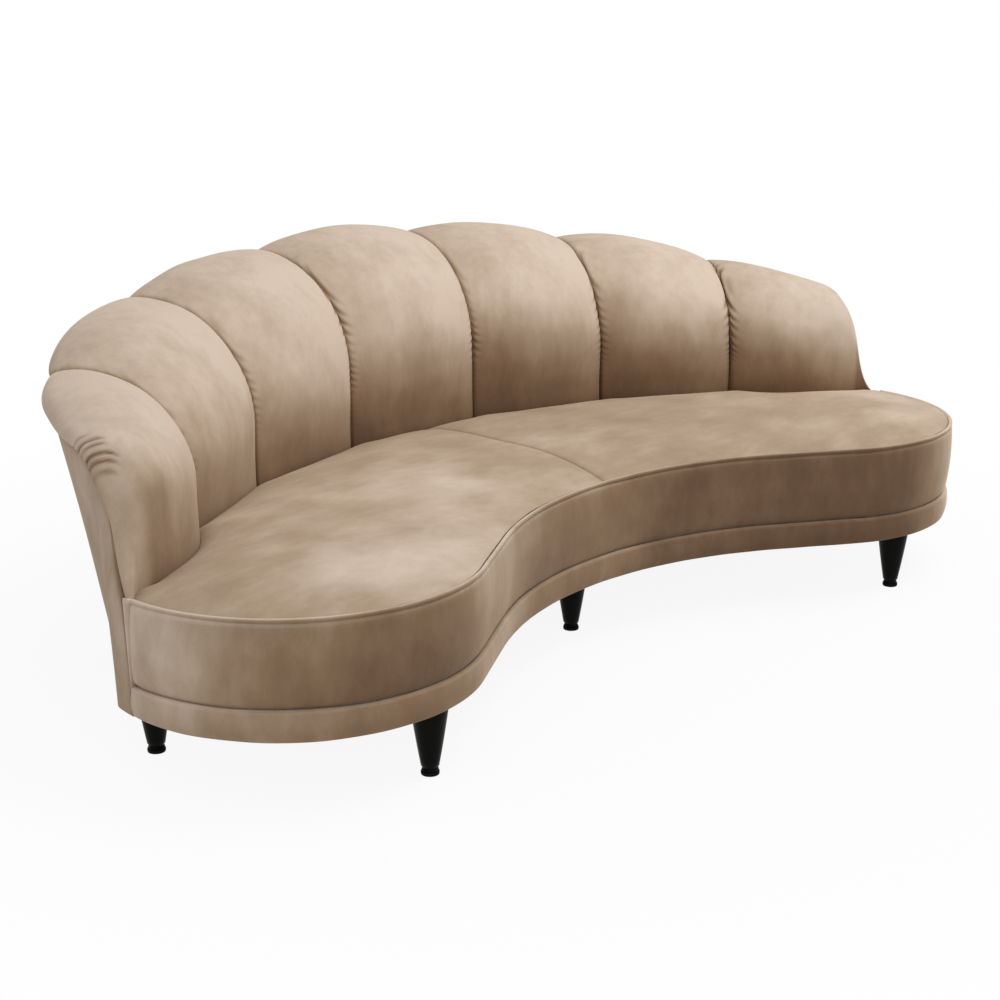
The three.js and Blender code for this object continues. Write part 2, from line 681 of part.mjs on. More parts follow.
// Inner face of the outer panel at a height
function innerWallAt(u, z) {
  const rimZ = crestHeight(u) - rollDown(u);
  const share = Math.min(1, Math.max(0, (z - BASE_Z) / (rimZ - BASE_Z)));
  return outerPoint(u, share).s - panelDepth(u, share);
}

function outerPanel() {
  const topShare = 1 - PANEL_TOP_GAP / (BACK_SEAM_Z - ROLL_DOWN - BASE_Z);
  const levels = PANEL_SHARES.map((h) => h * topShare);
  const shares = SEAM_SHARES.slice(0, -1).flatMap((_, i) => channelShares(i, 0).slice(i === 0 ? 0 : 1));
  add("outer_back_panel", aroundBack(shares, (u) => {
    const outer = levels.map((level) => outerPoint(u, level));
    const inner = levels.map((level, i) => ({ s: outer[i].s - panelDepth(u, level), z: outer[i].z }));
    return [...outer, ...inner.reverse()];
  }), "velvet");
}

// Frame of the back: bent skin, ribs on the seams and ends, and a top rail
function backFrame() {
  const shares = spread(-FRAME_END_SHARE, FRAME_END_SHARE, REAR_STEPS);
  const front = CHANNEL_T + FIT_CLEARANCE;
  add("back_skin_board", aroundBack(shares, (u) => {
    const line = (depth) => [
      wallPoint(BOARD_TOP_Z + CLEARANCE, depth),
      ...skinAngles().map((angle) => crestPoint(u, angle, depth)),
    ];
    return [...line(front), ...line(front + SKIN_T).reverse()];
  }), "plywood");
  add("back_top_rail", aroundBack(shares, (u) => {
    const top = railAngles().map((angle) => crestPoint(u, angle, front + 2 * CLEARANCE));
    const bottomZ = top.at(-1).z - TOP_RAIL_H;
    const rearS = Math.min(top.at(-1).s, innerWallAt(u, bottomZ) - 2 * FIT_CLEARANCE);
    return [...top, { s: rearS, z: bottomZ }, { s: top[0].s, z: bottomZ }];
  }), "beech");
  const ribShares = [-FRAME_END_SHARE, ...SEAM_SHARES.slice(1, -1), FRAME_END_SHARE];
  ribShares.forEach((share, i) => {
    const halfTurn = RIB_T / 2 / SEAT_LINE_R / END_ANGLE;
    const u = Math.abs(share) === FRAME_END_SHARE ? share - Math.sign(share) * halfTurn : share;
    add(`back_rib_${i + 1}`, rib(u, halfTurn), "plywood");
  });
}

// Where a height is reached between two values, found by halving
function halve(low, high, heightAt, z) {
  let from = low;
  let to = high;
  for (let i = 0; i < HALVINGS; i += 1) {
    const middle = (from + to) / 2;
    if (heightAt(middle) < z) from = middle;
    else to = middle;
  }
  return from;
}

// A rib fills the space between the skin and the outer panel, below the top rail
function rib(u, halfTurn) {
  const front = CHANNEL_T + FIT_CLEARANCE;
  const depth = front + SKIN_T + RIB_GAP;
  const foot = BOARD_TOP_Z + CLEARANCE;
  const outerShare = Math.abs(u) + halfTurn;
  const topZ = crestPoint(outerShare, Math.PI / 2, front).z - TOP_RAIL_H - 2 * FIT_CLEARANCE;
  const stop = halve(0, Math.PI / 2, (angle) => crestPoint(u, angle, depth).z, topZ);
  const bend = spread(0, stop, SKIN_STEPS).map((angle) => crestPoint(u, angle, depth));
  const shoulderZ = Math.min(topZ, crestHeight(outerShare) - rollDown(outerShare)) - RIB_STEP;
  const turns = [-halfTurn, 0, halfTurn];
  const wallS = (z) => Math.min(...turns.map((turn) => innerWallAt(u + turn, z))) - 2 * FIT_CLEARANCE;
  const wall = spread(shoulderZ, foot, RIB_WALL_STEPS).map((z) => ({ s: wallS(z), z }));
  const corner = Math.max(bend.at(-1).s + RIB_STEP, Math.min(crestOut(u) - CHANNEL_T, wall[0].s - RIB_STEP));
  const skinS = front + SKIN_T + 2 * CLEARANCE;
  const knee = { s: skinS, z: bend[0].z };
  const outline = [wallPoint(foot, skinS), knee, ...bend.slice(1), { s: corner, z: topZ }, ...wall];
  const shape = new THREE.Shape(outline.map((p) => new THREE.Vector2(SEAT_LINE_R + p.s, p.z)));
  const plate = new THREE.ExtrudeGeometry(shape, { depth: RIB_T, bevelEnabled: false });
  return plate
    .translate(0, 0, -RIB_T / 2)
    .rotateX(Math.PI / 2)
    .rotateZ(Math.PI / 2 - u * END_ANGLE);
}

// Legs stand on circles and angles of the plan
function legPlaces() {
  const onLobe = (angle, inset, side) => ({
    x: side * (LOBE_X + (LOBE_R - inset) * Math.cos(angle)),
    y: LOBE_Y + (LOBE_R - inset) * Math.sin(angle),
    turn: side * angle,
  });
  const rear = (side) => ({
    x: side * (REAR_R - REAR_LEG_INSET) * Math.sin(REAR_LEG_ANGLE),
    y: (REAR_R - REAR_LEG_INSET) * Math.cos(REAR_LEG_ANGLE),
    turn: -side * REAR_LEG_ANGLE,
  });
  return {
    front_left: onLobe(FRONT_LEG_ANGLE, FRONT_LEG_INSET, -1),
    front_centre: { x: 0, y: FRONT_ARC_Y + FRONT_ARC_R + CENTRE_LEG_INSET, turn: 0 },
    front_right: onLobe(FRONT_LEG_ANGLE, FRONT_LEG_INSET, 1),
    side_left: onLobe(SIDE_LEG_ANGLE, SIDE_LEG_INSET, -1),
    side_right: onLobe(SIDE_LEG_ANGLE, SIDE_LEG_INSET, 1),
    rear_left: rear(-1),
    rear_right: rear(1),
  };
}

function revolve(profile, sides, x, y) {
  const points = profile.map(([r, z]) => new THREE.Vector2(r, z));
  return new THREE.LatheGeometry(points, sides).rotateX(Math.PI / 2).translate(x, y, 0);
}

function legSet(places) {
  const top = BASE_Z - CLEARANCE;
  const boltTop = BOARD_TOP_Z + BOLT_GRIP;
  const boltBottom = top - BOLT_GRIP;
  const hole = BOLT_R + CLEARANCE;
  const pinHole = PIN_R + CLEARANCE;
  const legBottom = GLIDE_H + CLEARANCE;
  for (const [name, { x, y, turn }] of Object.entries(places)) {
    add(`leg_${name}`, revolve([
      [0, legBottom + PIN_L],
      [pinHole, legBottom + PIN_L],
      [pinHole, legBottom],
      [LEG_FOOT_R, legBottom],
      [LEG_FOOT_R, legBottom + LEG_FOOT_H / 2],
      [LEG_NECK_R, legBottom + LEG_NECK_H],
      [mix(LEG_NECK_R, LEG_TOP_R, LEG_BEND_R_SHARE), mix(legBottom + LEG_NECK_H, top, LEG_BEND_Z_SHARE)],
      [LEG_TOP_R, top - LEG_FOOT_H],
      [LEG_TOP_R, top],
      [hole, top],
      [hole, boltBottom - CLEARANCE],
      [0, boltBottom - CLEARANCE],
    ], LEG_SIDES, x, y), "lacquer");
    add(`glide_${name}`, revolve([
      [0, 0],
      [GLIDE_R - GLIDE_EDGE, 0],
      [GLIDE_R, GLIDE_EDGE],
      [GLIDE_R, GLIDE_H],
      [PIN_R, GLIDE_H],
      [PIN_R, GLIDE_H + PIN_L],
      [0, GLIDE_H + PIN_L],
    ], SMALL_SIDES, x, y), "glide");
    add(`leg_bolt_${name}`, revolve([
      [0, boltBottom],
      [BOLT_R, boltBottom],
      [BOLT_R, boltTop],
      [0, boltTop],
    ], SMALL_SIDES, x, y), "steel");
    const block = new THREE.BoxGeometry(BLOCK_W, BLOCK_W, RAIL_BOTTOM_Z - BOARD_TOP_Z - 2 * CLEARANCE)
      .rotateZ(turn)
      .translate(x, y, (RAIL_BOTTOM_Z + BOARD_TOP_Z) / 2);
    const bore = cylinder(x, y, hole, BASE_Z, boltTop + CLEARANCE, SMALL_SIDES);
    add(`leg_block_${name}`, cutAway(block, [bore]), "beech");
  }
}

// Base board, lining cloth, rails, ties and webbing
function seatFrame(places) {
  const bores = Object.values(places).map(({ x, y }) =>
    cylinder(x, y, BOLT_R + CLEARANCE, 0, RAIL_TOP_Z, SMALL_SIDES));
  const plan = basePlan(FRAME_INSET);
  const clothTop = BOARD_Z - CLEARANCE;
  add("base_board", cutAway(prism(plan, BOARD_Z, BOARD_TOP_Z), bores), "plywood");
  add("lining_cloth", cutAway(prism(plan, clothTop - CLOTH_T, clothTop), bores), "liningCloth");
  add("front_facing_board", alongFront([
    [FRAME_INSET, BOARD_TOP_Z + CLEARANCE],
    [FRAME_INSET + FACING_T, BOARD_TOP_Z + CLEARANCE],
    [FRAME_INSET + FACING_T, RAIL_TOP_Z],
    [FRAME_INSET, RAIL_TOP_Z],
  ], false), "plywood");
  add("front_seat_rail", alongFront([
    [RAIL_INSET, RAIL_BOTTOM_Z],
    [RAIL_INSET + RAIL_W, RAIL_BOTTOM_Z],
    [RAIL_INSET + RAIL_W, RAIL_TOP_Z],
    [RAIL_INSET, RAIL_TOP_Z],
  ], false), "beech");
  const rearShares = spread(-1, 1, REAR_STEPS).filter((u) => Math.abs(u) <= REAR_END_SHARE);
  const rearFace = SKIN_R - FIT_CLEARANCE - SEAT_LINE_R;
  add("rear_seat_rail", aroundBack(rearShares, (u) => [
    wallPoint(RAIL_BOTTOM_Z, rearFace),
    wallPoint(RAIL_BOTTOM_Z, rearFace - REAR_RAIL_W),
    wallPoint(RAIL_TOP_Z, rearFace - REAR_RAIL_W),
    wallPoint(RAIL_TOP_Z, rearFace),
  ]), "beech");
  const between = seatPlan(RAIL_INSET + RAIL_W + CLEARANCE, SEAT_LINE_R + rearFace - REAR_RAIL_W - CLEARANCE);
  const tieZone = toManifold(prism(between, RAIL_BOTTOM_Z, RAIL_BOTTOM_Z + TIE_H));
  for (const [name, x] of [["seat_tie_left", -TIE_X], ["seat_tie_right", TIE_X]]) {
    const bar = new THREE.BoxGeometry(TIE_W, REAR_R, TIE_H);
    bar.translate(x, REAR_R / 2, RAIL_BOTTOM_Z + TIE_H / 2);
    add(name, toGeometry(toManifold(bar).intersect(tieZone)), "beech");
  }
  add("seat_webbing", webbing(SEAT_LINE_R + rearFace - CLEARANCE), "webbing");
  const core = seatPlan(BORDER_T + CLEARANCE, SEAT_LINE_R + rearFace);
  add("seat_foam_core", prism(core, WEB_TOP_Z + CLEARANCE, SEAT_EDGE_Z), "foam");
}

function webbing(rearRadius) {
  const bottom = RAIL_TOP_Z + CLEARANCE;
  const middle = bottom + STRAP_T / 2;
  const strap = (w, l, x, y) => toManifold(new THREE.BoxGeometry(w, l, STRAP_T).translate(x, y, middle));
  let net;
  const join = (m) => {
    net = net ? net.add(m) : m;
  };
  const columns = Math.floor((LOBE_X + LOBE_R) / STRAP_PITCH);
  for (let i = -columns; i <= columns; i += 1) join(strap(STRAP_W, 2 * REAR_R, i * STRAP_PITCH, 0));
  const firstY = LOBE_Y - LOBE_R;
  for (let y = firstY + STRAP_PITCH / 2; y < SEAT_LINE_R; y += STRAP_PITCH) {
    join(strap(2 * REAR_R, STRAP_W, 0, y));
  }
  const zone = toManifold(prism(seatPlan(STRAP_EDGE, rearRadius), bottom - STRAP_T, bottom + 2 * STRAP_T));
  return toGeometry(net.intersect(zone));
}

const places = legPlaces();
seatPads();
seatEdge();
backChannels();
outerPanel();
backFrame();
seatFrame(places);
legSet(places);

// The origin goes under the middle of the sofa
sofa.updateMatrixWorld(true);
const box = new THREE.Box3().setFromObject(sofa);
sofa.position.y = -(box.min.y + box.max.y) / 2;

export default sofa;
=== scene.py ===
"""Looks of the curved sofa: velvet over a fluted back and a kidney-shaped seat, on turned black legs."""

import json
import logging
import math
from collections.abc import Sequence
from dataclasses import dataclass, field
from enum import Enum, auto
from typing import NamedTuple

import bmesh
import bpy
import numpy as np
from mathutils import Euler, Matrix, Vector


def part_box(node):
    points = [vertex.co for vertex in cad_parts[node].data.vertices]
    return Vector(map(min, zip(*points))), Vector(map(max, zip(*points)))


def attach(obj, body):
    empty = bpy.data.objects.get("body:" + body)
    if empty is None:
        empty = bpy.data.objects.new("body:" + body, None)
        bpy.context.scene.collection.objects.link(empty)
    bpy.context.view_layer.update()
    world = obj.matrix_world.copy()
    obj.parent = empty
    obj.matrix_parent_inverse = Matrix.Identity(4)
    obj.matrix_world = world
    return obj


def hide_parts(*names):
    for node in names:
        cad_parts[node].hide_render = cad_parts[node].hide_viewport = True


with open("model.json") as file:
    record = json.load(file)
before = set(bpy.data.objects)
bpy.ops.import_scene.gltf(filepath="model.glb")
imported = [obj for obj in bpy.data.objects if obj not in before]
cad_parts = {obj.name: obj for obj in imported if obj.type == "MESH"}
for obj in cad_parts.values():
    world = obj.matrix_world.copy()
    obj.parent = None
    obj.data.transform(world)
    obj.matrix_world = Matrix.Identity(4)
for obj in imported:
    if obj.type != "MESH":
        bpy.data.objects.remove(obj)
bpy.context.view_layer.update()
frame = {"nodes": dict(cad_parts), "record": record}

LOG = logging.getLogger("curved_sofa")
MM = 0.001
# Colour attribute that holds the painted light and shade tone of the velvet pieces.
PAINTED_SHADING_TONE = "painted_shading_tone"
LEG_SETBACK = 103.0
SIDES = (("right", 1), ("left", -1))


class NapWay(Enum):
    """Which way the nap of a velvet piece is drawn."""

    UPRIGHT = auto()
    LEVEL = auto()


def mix(a: np.ndarray, b: np.ndarray, share: np.ndarray) -> np.ndarray:
    """Returns the value between a and b at a share."""
    return a + (b - a) * share


def smooth(low: float, high: float, x: np.ndarray) -> np.ndarray:
    """Returns 0 below low, 1 above high and a smooth step between them."""
    t = np.clip((x - low) / (high - low), 0.0, 1.0)
    return t * t * (3 - 2 * t)


def eased(lines: np.ndarray, passes: int = 24) -> np.ndarray:
    """Rounds the bends of rows of points and keeps their ends.

    Args:
        lines: Values by row and place along it.
        passes: How often they are eased.

    Returns:
        The eased rows.
    """
    eased_lines = lines.copy()
    for _ in range(passes):
        middle = eased_lines[:, :-2] + 2 * eased_lines[:, 1:-1] + eased_lines[:, 2:]
        eased_lines[:, 1:-1] = middle / 4
    return eased_lines


def ripple(x: np.ndarray, y: np.ndarray, z: np.ndarray, length: float, seed: int) -> np.ndarray:
    """Makes a smooth irregular field from a few waves.

    Args:
        x: First coordinate in millimetres.
        y: Second coordinate in millimetres.
        z: Third coordinate in millimetres.
        length: Main wave length in millimetres.
        seed: Seed of the waves' directions and phases.

    Returns:
        Values of about -1 to 1.
    """
    rng = np.random.RandomState(seed)
    total = np.zeros(np.broadcast(x, y, z).shape)
    waves = 7
    for _ in range(waves):
        way = rng.normal(size=3)
        way /= np.linalg.norm(way)
        pitch = length * rng.uniform(0.6, 1.6)
        phase = rng.uniform(0, 2 * math.pi)
        total += np.sin(2 * math.pi * (way[0] * x + way[1] * y + way[2] * z) / pitch + phase)
    return total / math.sqrt(waves) / 1.3


@dataclass(frozen=True)
class Plan:
    """Plan of the sofa in millimetres, measured from the centre of the back's arc."""

    seat_r: float = 1510.0
    seat_depth: float = 629.0
    back_reach: float = 88.0
    lobe_r: float = 359.0
    lobe_angle: float = math.radians(39.2)
    straight: float = 187.5
    edge_inset: float = 25.0
    centre_y: float = 0.0

    @property
    def rear_r(self) -> float:
        """Radius of the rear outline."""
        return self.seat_r + self.back_reach

    @property
    def lobe_distance(self) -> float:
        """Distance from the arc's centre to a round end's centre."""
        return self.rear_r - self.lobe_r

    @property
    def lobe_x(self) -> float:
        """Sideways place of a round end's centre."""
        return self.lobe_distance * math.sin(self.lobe_angle)

    @property
    def lobe_y(self) -> float:
        """Place of a round end's centre from front to back."""
        return self.lobe_distance * math.cos(self.lobe_angle)

    @property
    def front_r(self) -> float:
        """Radius of the front bay."""
        rise = self.lobe_y - self.seat_r + self.seat_depth
        square = self.lobe_x**2 + rise**2 - self.lobe_r**2 - self.straight**2
        return square / (2 * (self.lobe_r - rise))

    @property
    def front_y(self) -> float:
        """Place of the front bay's centre from front to back."""
        return self.seat_r - self.seat_depth - self.front_r

    @property
    def tangent(self) -> float:
        """Angle at which the front bay turns into its straight stretch."""
        between = math.atan2(self.straight, self.front_r + self.lobe_r)
        return math.atan2(self.lobe_x, self.lobe_y - self.front_y) - between

    @property
    def end_angle(self) -> float:
        """Half angle of the back's arc."""
        a, b, c = self.seat_r, self.lobe_distance, self.lobe_r - self.edge_inset
        return self.lobe_angle + math.acos((a * a + b * b - c * c) / (2 * a * b))

    @property
    def end_turn(self) -> float:
        """Angle of the arm's end as seen from the round end's centre."""
        end_r = float(self.outline(np.array(self.end_angle), 0.0))
        end_x, end_y = end_r * math.sin(self.end_angle), end_r * math.cos(self.end_angle)
        return math.atan2(end_y - self.lobe_y, end_x - self.lobe_x)

    @property
    def end_skew(self) -> float:
        """Angle between the arc's and the round end's radius at the arm's end."""
        return math.pi / 2 - self.end_angle - self.end_turn

    def outline(self, angle: np.ndarray, inset: np.ndarray) -> np.ndarray:
        """Finds the far outline, moved in by an inset.

        Args:
            angle: Angles from the middle.
            inset: How far it is moved in.

        Returns:
            Its distances from the arc's centre.
        """
        turn = np.maximum(np.abs(angle) - self.lobe_angle, 0.0)
        r = self.lobe_r - inset
        across = self.lobe_distance * np.sin(turn)
        return self.lobe_distance * np.cos(turn) + np.sqrt(np.maximum(r * r - across * across, 0.0))

    def near(self, angle: np.ndarray, inset: float) -> np.ndarray:
        """Finds the near outline, moved in by an inset.

        Args:
            angle: Angles from the middle.
            inset: How far it is moved in.

        Returns:
            Its distances from the arc's centre.
        """
        a = np.abs(angle)
        r = self.front_r + inset
        arc = self.front_y * np.cos(a) + np.sqrt(np.maximum(r * r - (self.front_y * np.sin(a)) ** 2, 0))
        arc_end = math.atan2(r * math.sin(self.tangent), self.front_y + r * math.cos(self.tangent))
        lobe = self.lobe_r - inset
        touch_x = self.lobe_x - lobe * math.sin(self.tangent)
        touch_y = self.lobe_y - lobe * math.cos(self.tangent)
        line = (r + self.front_y * math.cos(self.tangent)) / np.cos(a - self.tangent)
        turn = a - self.lobe_angle
        side = self.lobe_distance * np.sin(turn)
        ring = self.lobe_distance * np.cos(turn) - np.sqrt(np.maximum(lobe * lobe - side * side, 0.0))
        return np.where(a <= arc_end, arc, np.where(a <= math.atan2(touch_x, touch_y), line, ring))

    def inside(self, x: np.ndarray, y: np.ndarray) -> np.ndarray:
        """Measures plan points from the front outline.

        Args:
            x: Places sideways.
            y: Places from front to back.

        Returns:
            How far inside it they lie.
        """
        px = np.abs(x)
        turn = np.arctan2(px, y - self.front_y)
        arc = np.hypot(px, y - self.front_y) - self.front_r
        cos, sin = math.cos(self.tangent), math.sin(self.tangent)
        along = (px - self.lobe_x) * cos - (y - self.lobe_y) * sin
        line = px * sin + (y - self.front_y) * cos - self.front_r
        ring = self.lobe_r - np.hypot(px - self.lobe_x, y - self.lobe_y)
        return np.where(turn < self.tangent, arc, np.where(along < 0, line, ring))

    def front_line(self, lobe_steps: int, line_steps: int, arc_steps: int, end_gap: float) -> np.ndarray:
        """Walks along the front outline from the right arm to the left one.

        Args:
            lobe_steps: Steps round each round end.
            line_steps: Steps along each straight stretch.
            arc_steps: Steps round the front bay.
            end_gap: Gap left at each end in millimetres.

        Returns:
            Rows of x, y and the inward normal's x and y.
        """
        start = self.end_turn - end_gap / self.lobe_r
        touch = -math.pi / 2 - self.tangent
        rows = []
        for angle in np.linspace(start, touch, lobe_steps + 1):
            nx, ny = -math.cos(angle), -math.sin(angle)
            rows.append((self.lobe_x - self.lobe_r * nx, self.lobe_y - self.lobe_r * ny, nx, ny))
        nx, ny = math.sin(self.tangent), math.cos(self.tangent)
        arc_start = np.array((self.front_r * nx, self.front_y + self.front_r * ny))
        lobe_touch = np.array(rows[-1][:2])
        for share in np.linspace(0, 1, line_steps + 1)[1:]:
            x, y = lobe_touch + (arc_start - lobe_touch) * share
            rows.append((x, y, nx, ny))
        right = np.array(rows)
        arc = []
        for angle in np.linspace(self.tangent, -self.tangent, arc_steps + 1)[1:-1]:
            nx, ny = math.sin(angle), math.cos(angle)
            arc.append((self.front_r * nx, self.front_y + self.front_r * ny, nx, ny))
        left = right[::-1] * np.array((-1, 1, -1, 1))
        return np.vstack((right, np.array(arc), left))

    def lobe_point(self, gone: np.ndarray, inset: np.ndarray) -> tuple[np.ndarray, np.ndarray]:
        """Walks round the right round end from the arm's end.

        Args:
            gone: Distance walked along the outline in millimetres.
            inset: How far inside the outline the point lies.

        Returns:
            Plan places x and y.
        """
        angle = self.end_turn - gone / self.lobe_r
        r = self.lobe_r - inset
        return self.lobe_x + r * np.cos(angle), self.lobe_y + r * np.sin(angle)

    def polar(self, angle: np.ndarray, radius: np.ndarray, z: np.ndarray) -> np.ndarray:
        """Returns points in metres in the part's frame from angles, radii and heights."""
        x, y, z = np.broadcast_arrays(radius * np.sin(angle), radius * np.cos(angle), z)
        return np.stack((x, y - self.centre_y, z), axis=-1) * MM

    def plain(self, x: np.ndarray, y: np.ndarray, z: np.ndarray) -> np.ndarray:
        """Returns points in metres in the part's frame from plan places and heights."""
        x, y, z = np.broadcast_arrays(x, y, z)
        return np.stack((x, y - self.centre_y, z), axis=-1) * MM


@dataclass(frozen=True)
class Heights:
    """Heights above the floor in millimetres."""

    base: float = 130.0
    band: float = 189.0
    seat: float = 344.0
    back: float = 434.0


@dataclass(frozen=True)
class BackShape:
    """Section of the back at a share u of its half angle, in millimetres."""

    plan: Plan
    heights: Heights
    out: float = 245.0
    rise_share: float = 0.5184
    drop_share: float = 0.4885
    drop_power: float = 1.75
    out_power: float = 4.5
    arm_out: float = 5.0
    corner: float = 0.935
    arm_end_share: float = 0.2212
    roll_out_size: float = 40.0
    roll_down_size: float = 75.0
    roll_thin: float = 6.0
    lean: float = 24.0
    lean_share: float = 0.72
    close_share: float = 0.93
    base_inset: float = 43.0
    band_inset: float = 7.0
    foot_inset: float = 9.0
    least: float = 0.3

    def crest_z(self, u: np.ndarray) -> np.ndarray:
        """Finds the crest's seam line.

        Args:
            u: Shares of the half angle.

        Returns:
            Its heights.
        """
        a = np.minimum(np.abs(u), 1.0)
        fall = self.heights.seat + self.heights.back * (1 - self.drop_share * a**self.drop_power)
        along = np.clip((a - self.corner) / (1 - self.corner), 0.0, 1.0)
        low = self.heights.seat + self.arm_end_share * self.heights.back
        return mix(low, fall, np.sqrt(1 - along * along))

    def crest_s(self, u: np.ndarray) -> np.ndarray:
        """Returns how far the crest lies outside the seat line."""
        return mix(self.arm_out, self.out, 1 - np.minimum(np.abs(u), 1.0) ** self.out_power)

    def rise(self, u: np.ndarray) -> np.ndarray:
        """Returns the height of the crest's bend."""
        return self.rise_share * self.heights.back / self.out * self.crest_s(u)

    def roll_s(self, u: np.ndarray) -> np.ndarray:
        """Returns how far the roll over the crest reaches out."""
        return self.roll_out_size * (1 - np.minimum(np.abs(u), 1.0) ** self.out_power)

    def roll_z(self, u: np.ndarray) -> np.ndarray:
        """Returns how far the roll over the crest comes down."""
        a = np.minimum(np.abs(u), 1.0)
        return mix(self.roll_thin, self.roll_down_size, (1 - a**1.5) ** 2)

    def seam_lean(self, u: np.ndarray) -> np.ndarray:
        """Works out how far the seams lean over the seat.

        Args:
            u: Shares of the half angle.

        Returns:
            How far they lean in.
        """
        a = np.minimum(np.abs(u), 1.0)
        inner = self.lean + self.lean * (a / self.lean_share) ** 2
        left = (1 - a) / (1 - self.lean_share)
        return np.where(a <= self.lean_share, inner, 2 * self.lean * left * (2 - left))

    @staticmethod
    def ellipse(cs: np.ndarray, cz: np.ndarray, rs: np.ndarray, rz: np.ndarray, angle: np.ndarray,
                depth: np.ndarray) -> tuple[np.ndarray, np.ndarray]:
        """Finds points inside or outside an ellipse.

        Args:
            cs: Centre outwards.
            cz: Centre upwards.
            rs: Half width.
            rz: Half height.
            angle: Angle round the ellipse.
            depth: How far the point lies inside it.

        Returns:
            Places outwards and heights.
        """
        fs, fz = np.cos(angle) / rs, np.sin(angle) / rz
        size = np.hypot(fs, fz)
        return cs + rs * np.cos(angle) - depth * fs / size, cz + rz * np.sin(angle) - depth * fz / size

    def crest(self, u: np.ndarray, angle: np.ndarray, depth: np.ndarray) -> tuple[np.ndarray, np.ndarray]:
        """Returns places outwards and heights round the crest's bend."""
        s, r = self.crest_s(u), self.rise(u)
        return self.ellipse(s, self.crest_z(u) - r, s, r, math.pi - angle, depth)

    def rim(self, u: np.ndarray) -> tuple[np.ndarray, np.ndarray]:
        """Returns the place outwards and the height of the rim, where the roll meets the outer panel."""
        return self.crest_s(u) + self.roll_s(u), self.crest_z(u) - self.roll_z(u)

    def roll(self, u: np.ndarray, angle: np.ndarray, depth: np.ndarray) -> tuple[np.ndarray, np.ndarray]:
        """Walks round the roll over the crest.

        Args:
            u: Shares of the half angle.
            angle: Angle round it, from its top.
            depth: How far the point lies inside it.

        Returns:
            Places outwards and heights.
        """
        down = self.roll_z(u)
        out = np.maximum(self.roll_s(u), self.least)
        return self.ellipse(self.crest_s(u), self.crest_z(u) - down, out, down, math.pi / 2 - angle, depth)

    def front_inset(self, z: np.ndarray) -> np.ndarray:
        """Works out how far the front leans in.

        Args:
            z: Heights.

        Returns:
            How far inside the outline it lies.
        """
        h = self.heights
        upper = mix(self.band_inset, 0.0, np.clip((z - h.band) / (h.seat - h.band), 0, 1))
        lower = mix(self.foot_inset, self.band_inset, np.clip((z - h.base) / (h.band - h.base), 0, 1))
        return np.where(z >= h.band, upper, lower)

    def outer(self, u: np.ndarray, share: np.ndarray) -> tuple[np.ndarray, np.ndarray]:
        """Works out the outer panel's face.

        Args:
            u: Shares of the half angle.
            share: Shares of its height.

        Returns:
            Places outwards and heights.
        """
        h, angle = self.heights, u * self.plan.end_angle
        rim_s, rim_z = self.rim(u)
        z = mix(h.base, rim_z, share)
        slant = mix(self.plan.outline(angle, self.base_inset) - self.plan.seat_r, rim_s, share)
        above = np.maximum(z - h.seat, 0) / np.maximum(rim_z - h.seat, self.least)
        lobe = self.plan.outline(angle, self.front_inset(z)) - self.plan.seat_r
        away = smooth(0, 1 - self.close_share, 1 - np.abs(u))
        return mix(mix(lobe, rim_s, above), slant, away), z


@dataclass(frozen=True)
class Finish:
    """A plain finish of one colour."""

    name: str
    color: tuple[float, float, float]
    roughness: float
    metallic: float = 0.0
    gloss: float = 0.5
    grain: float = 0.0
    grain_scale: float = 20.0
    stretch: tuple[float, float, float] = (1.0, 1.0, 8.0)

    def build(self) -> bpy.types.Material:
        """Makes the material, with a light grain where it has one.

        Returns:
            The material.
        """
        material = bpy.data.materials.new(self.name)
        material.use_nodes = True
        nodes, links = material.node_tree.nodes, material.node_tree.links
        shader = nodes["Principled BSDF"]
        shader.inputs["Base Color"].default_value = (*self.color, 1.0)
        shader.inputs["Roughness"].default_value = self.roughness
        shader.inputs["Metallic"].default_value = self.metallic
        shader.inputs["Specular IOR Level"].default_value = self.gloss
        if self.grain:
            place = nodes.new("ShaderNodeTexCoord")
            stretch = nodes.new("ShaderNodeMapping")
            stretch.inputs["Scale"].default_value = self.stretch
            noise = nodes.new("ShaderNodeTexNoise")
            noise.inputs["Scale"].default_value = self.grain_scale
            ramp = nodes.new("ShaderNodeValToRGB")
            ramp.color_ramp.elements[0].color = (*(c * (1 - self.grain) for c in self.color), 1.0)
            ramp.color_ramp.elements[1].color = (*(min(c * (1 + self.grain), 1.0) for c in self.color), 1.0)
            links.new(place.outputs["Object"], stretch.inputs["Vector"])
            links.new(stretch.outputs["Vector"], noise.inputs["Vector"])
            links.new(noise.outputs["Fac"], ramp.inputs["Fac"])
            links.new(ramp.outputs["Color"], shader.inputs["Base Color"])
        return material


class Noise(NamedTuple):
    """One layer of the velvet's noise: its texture settings and how much of it is added."""

    scale: float
    detail: float
    rough: float
    amount: float


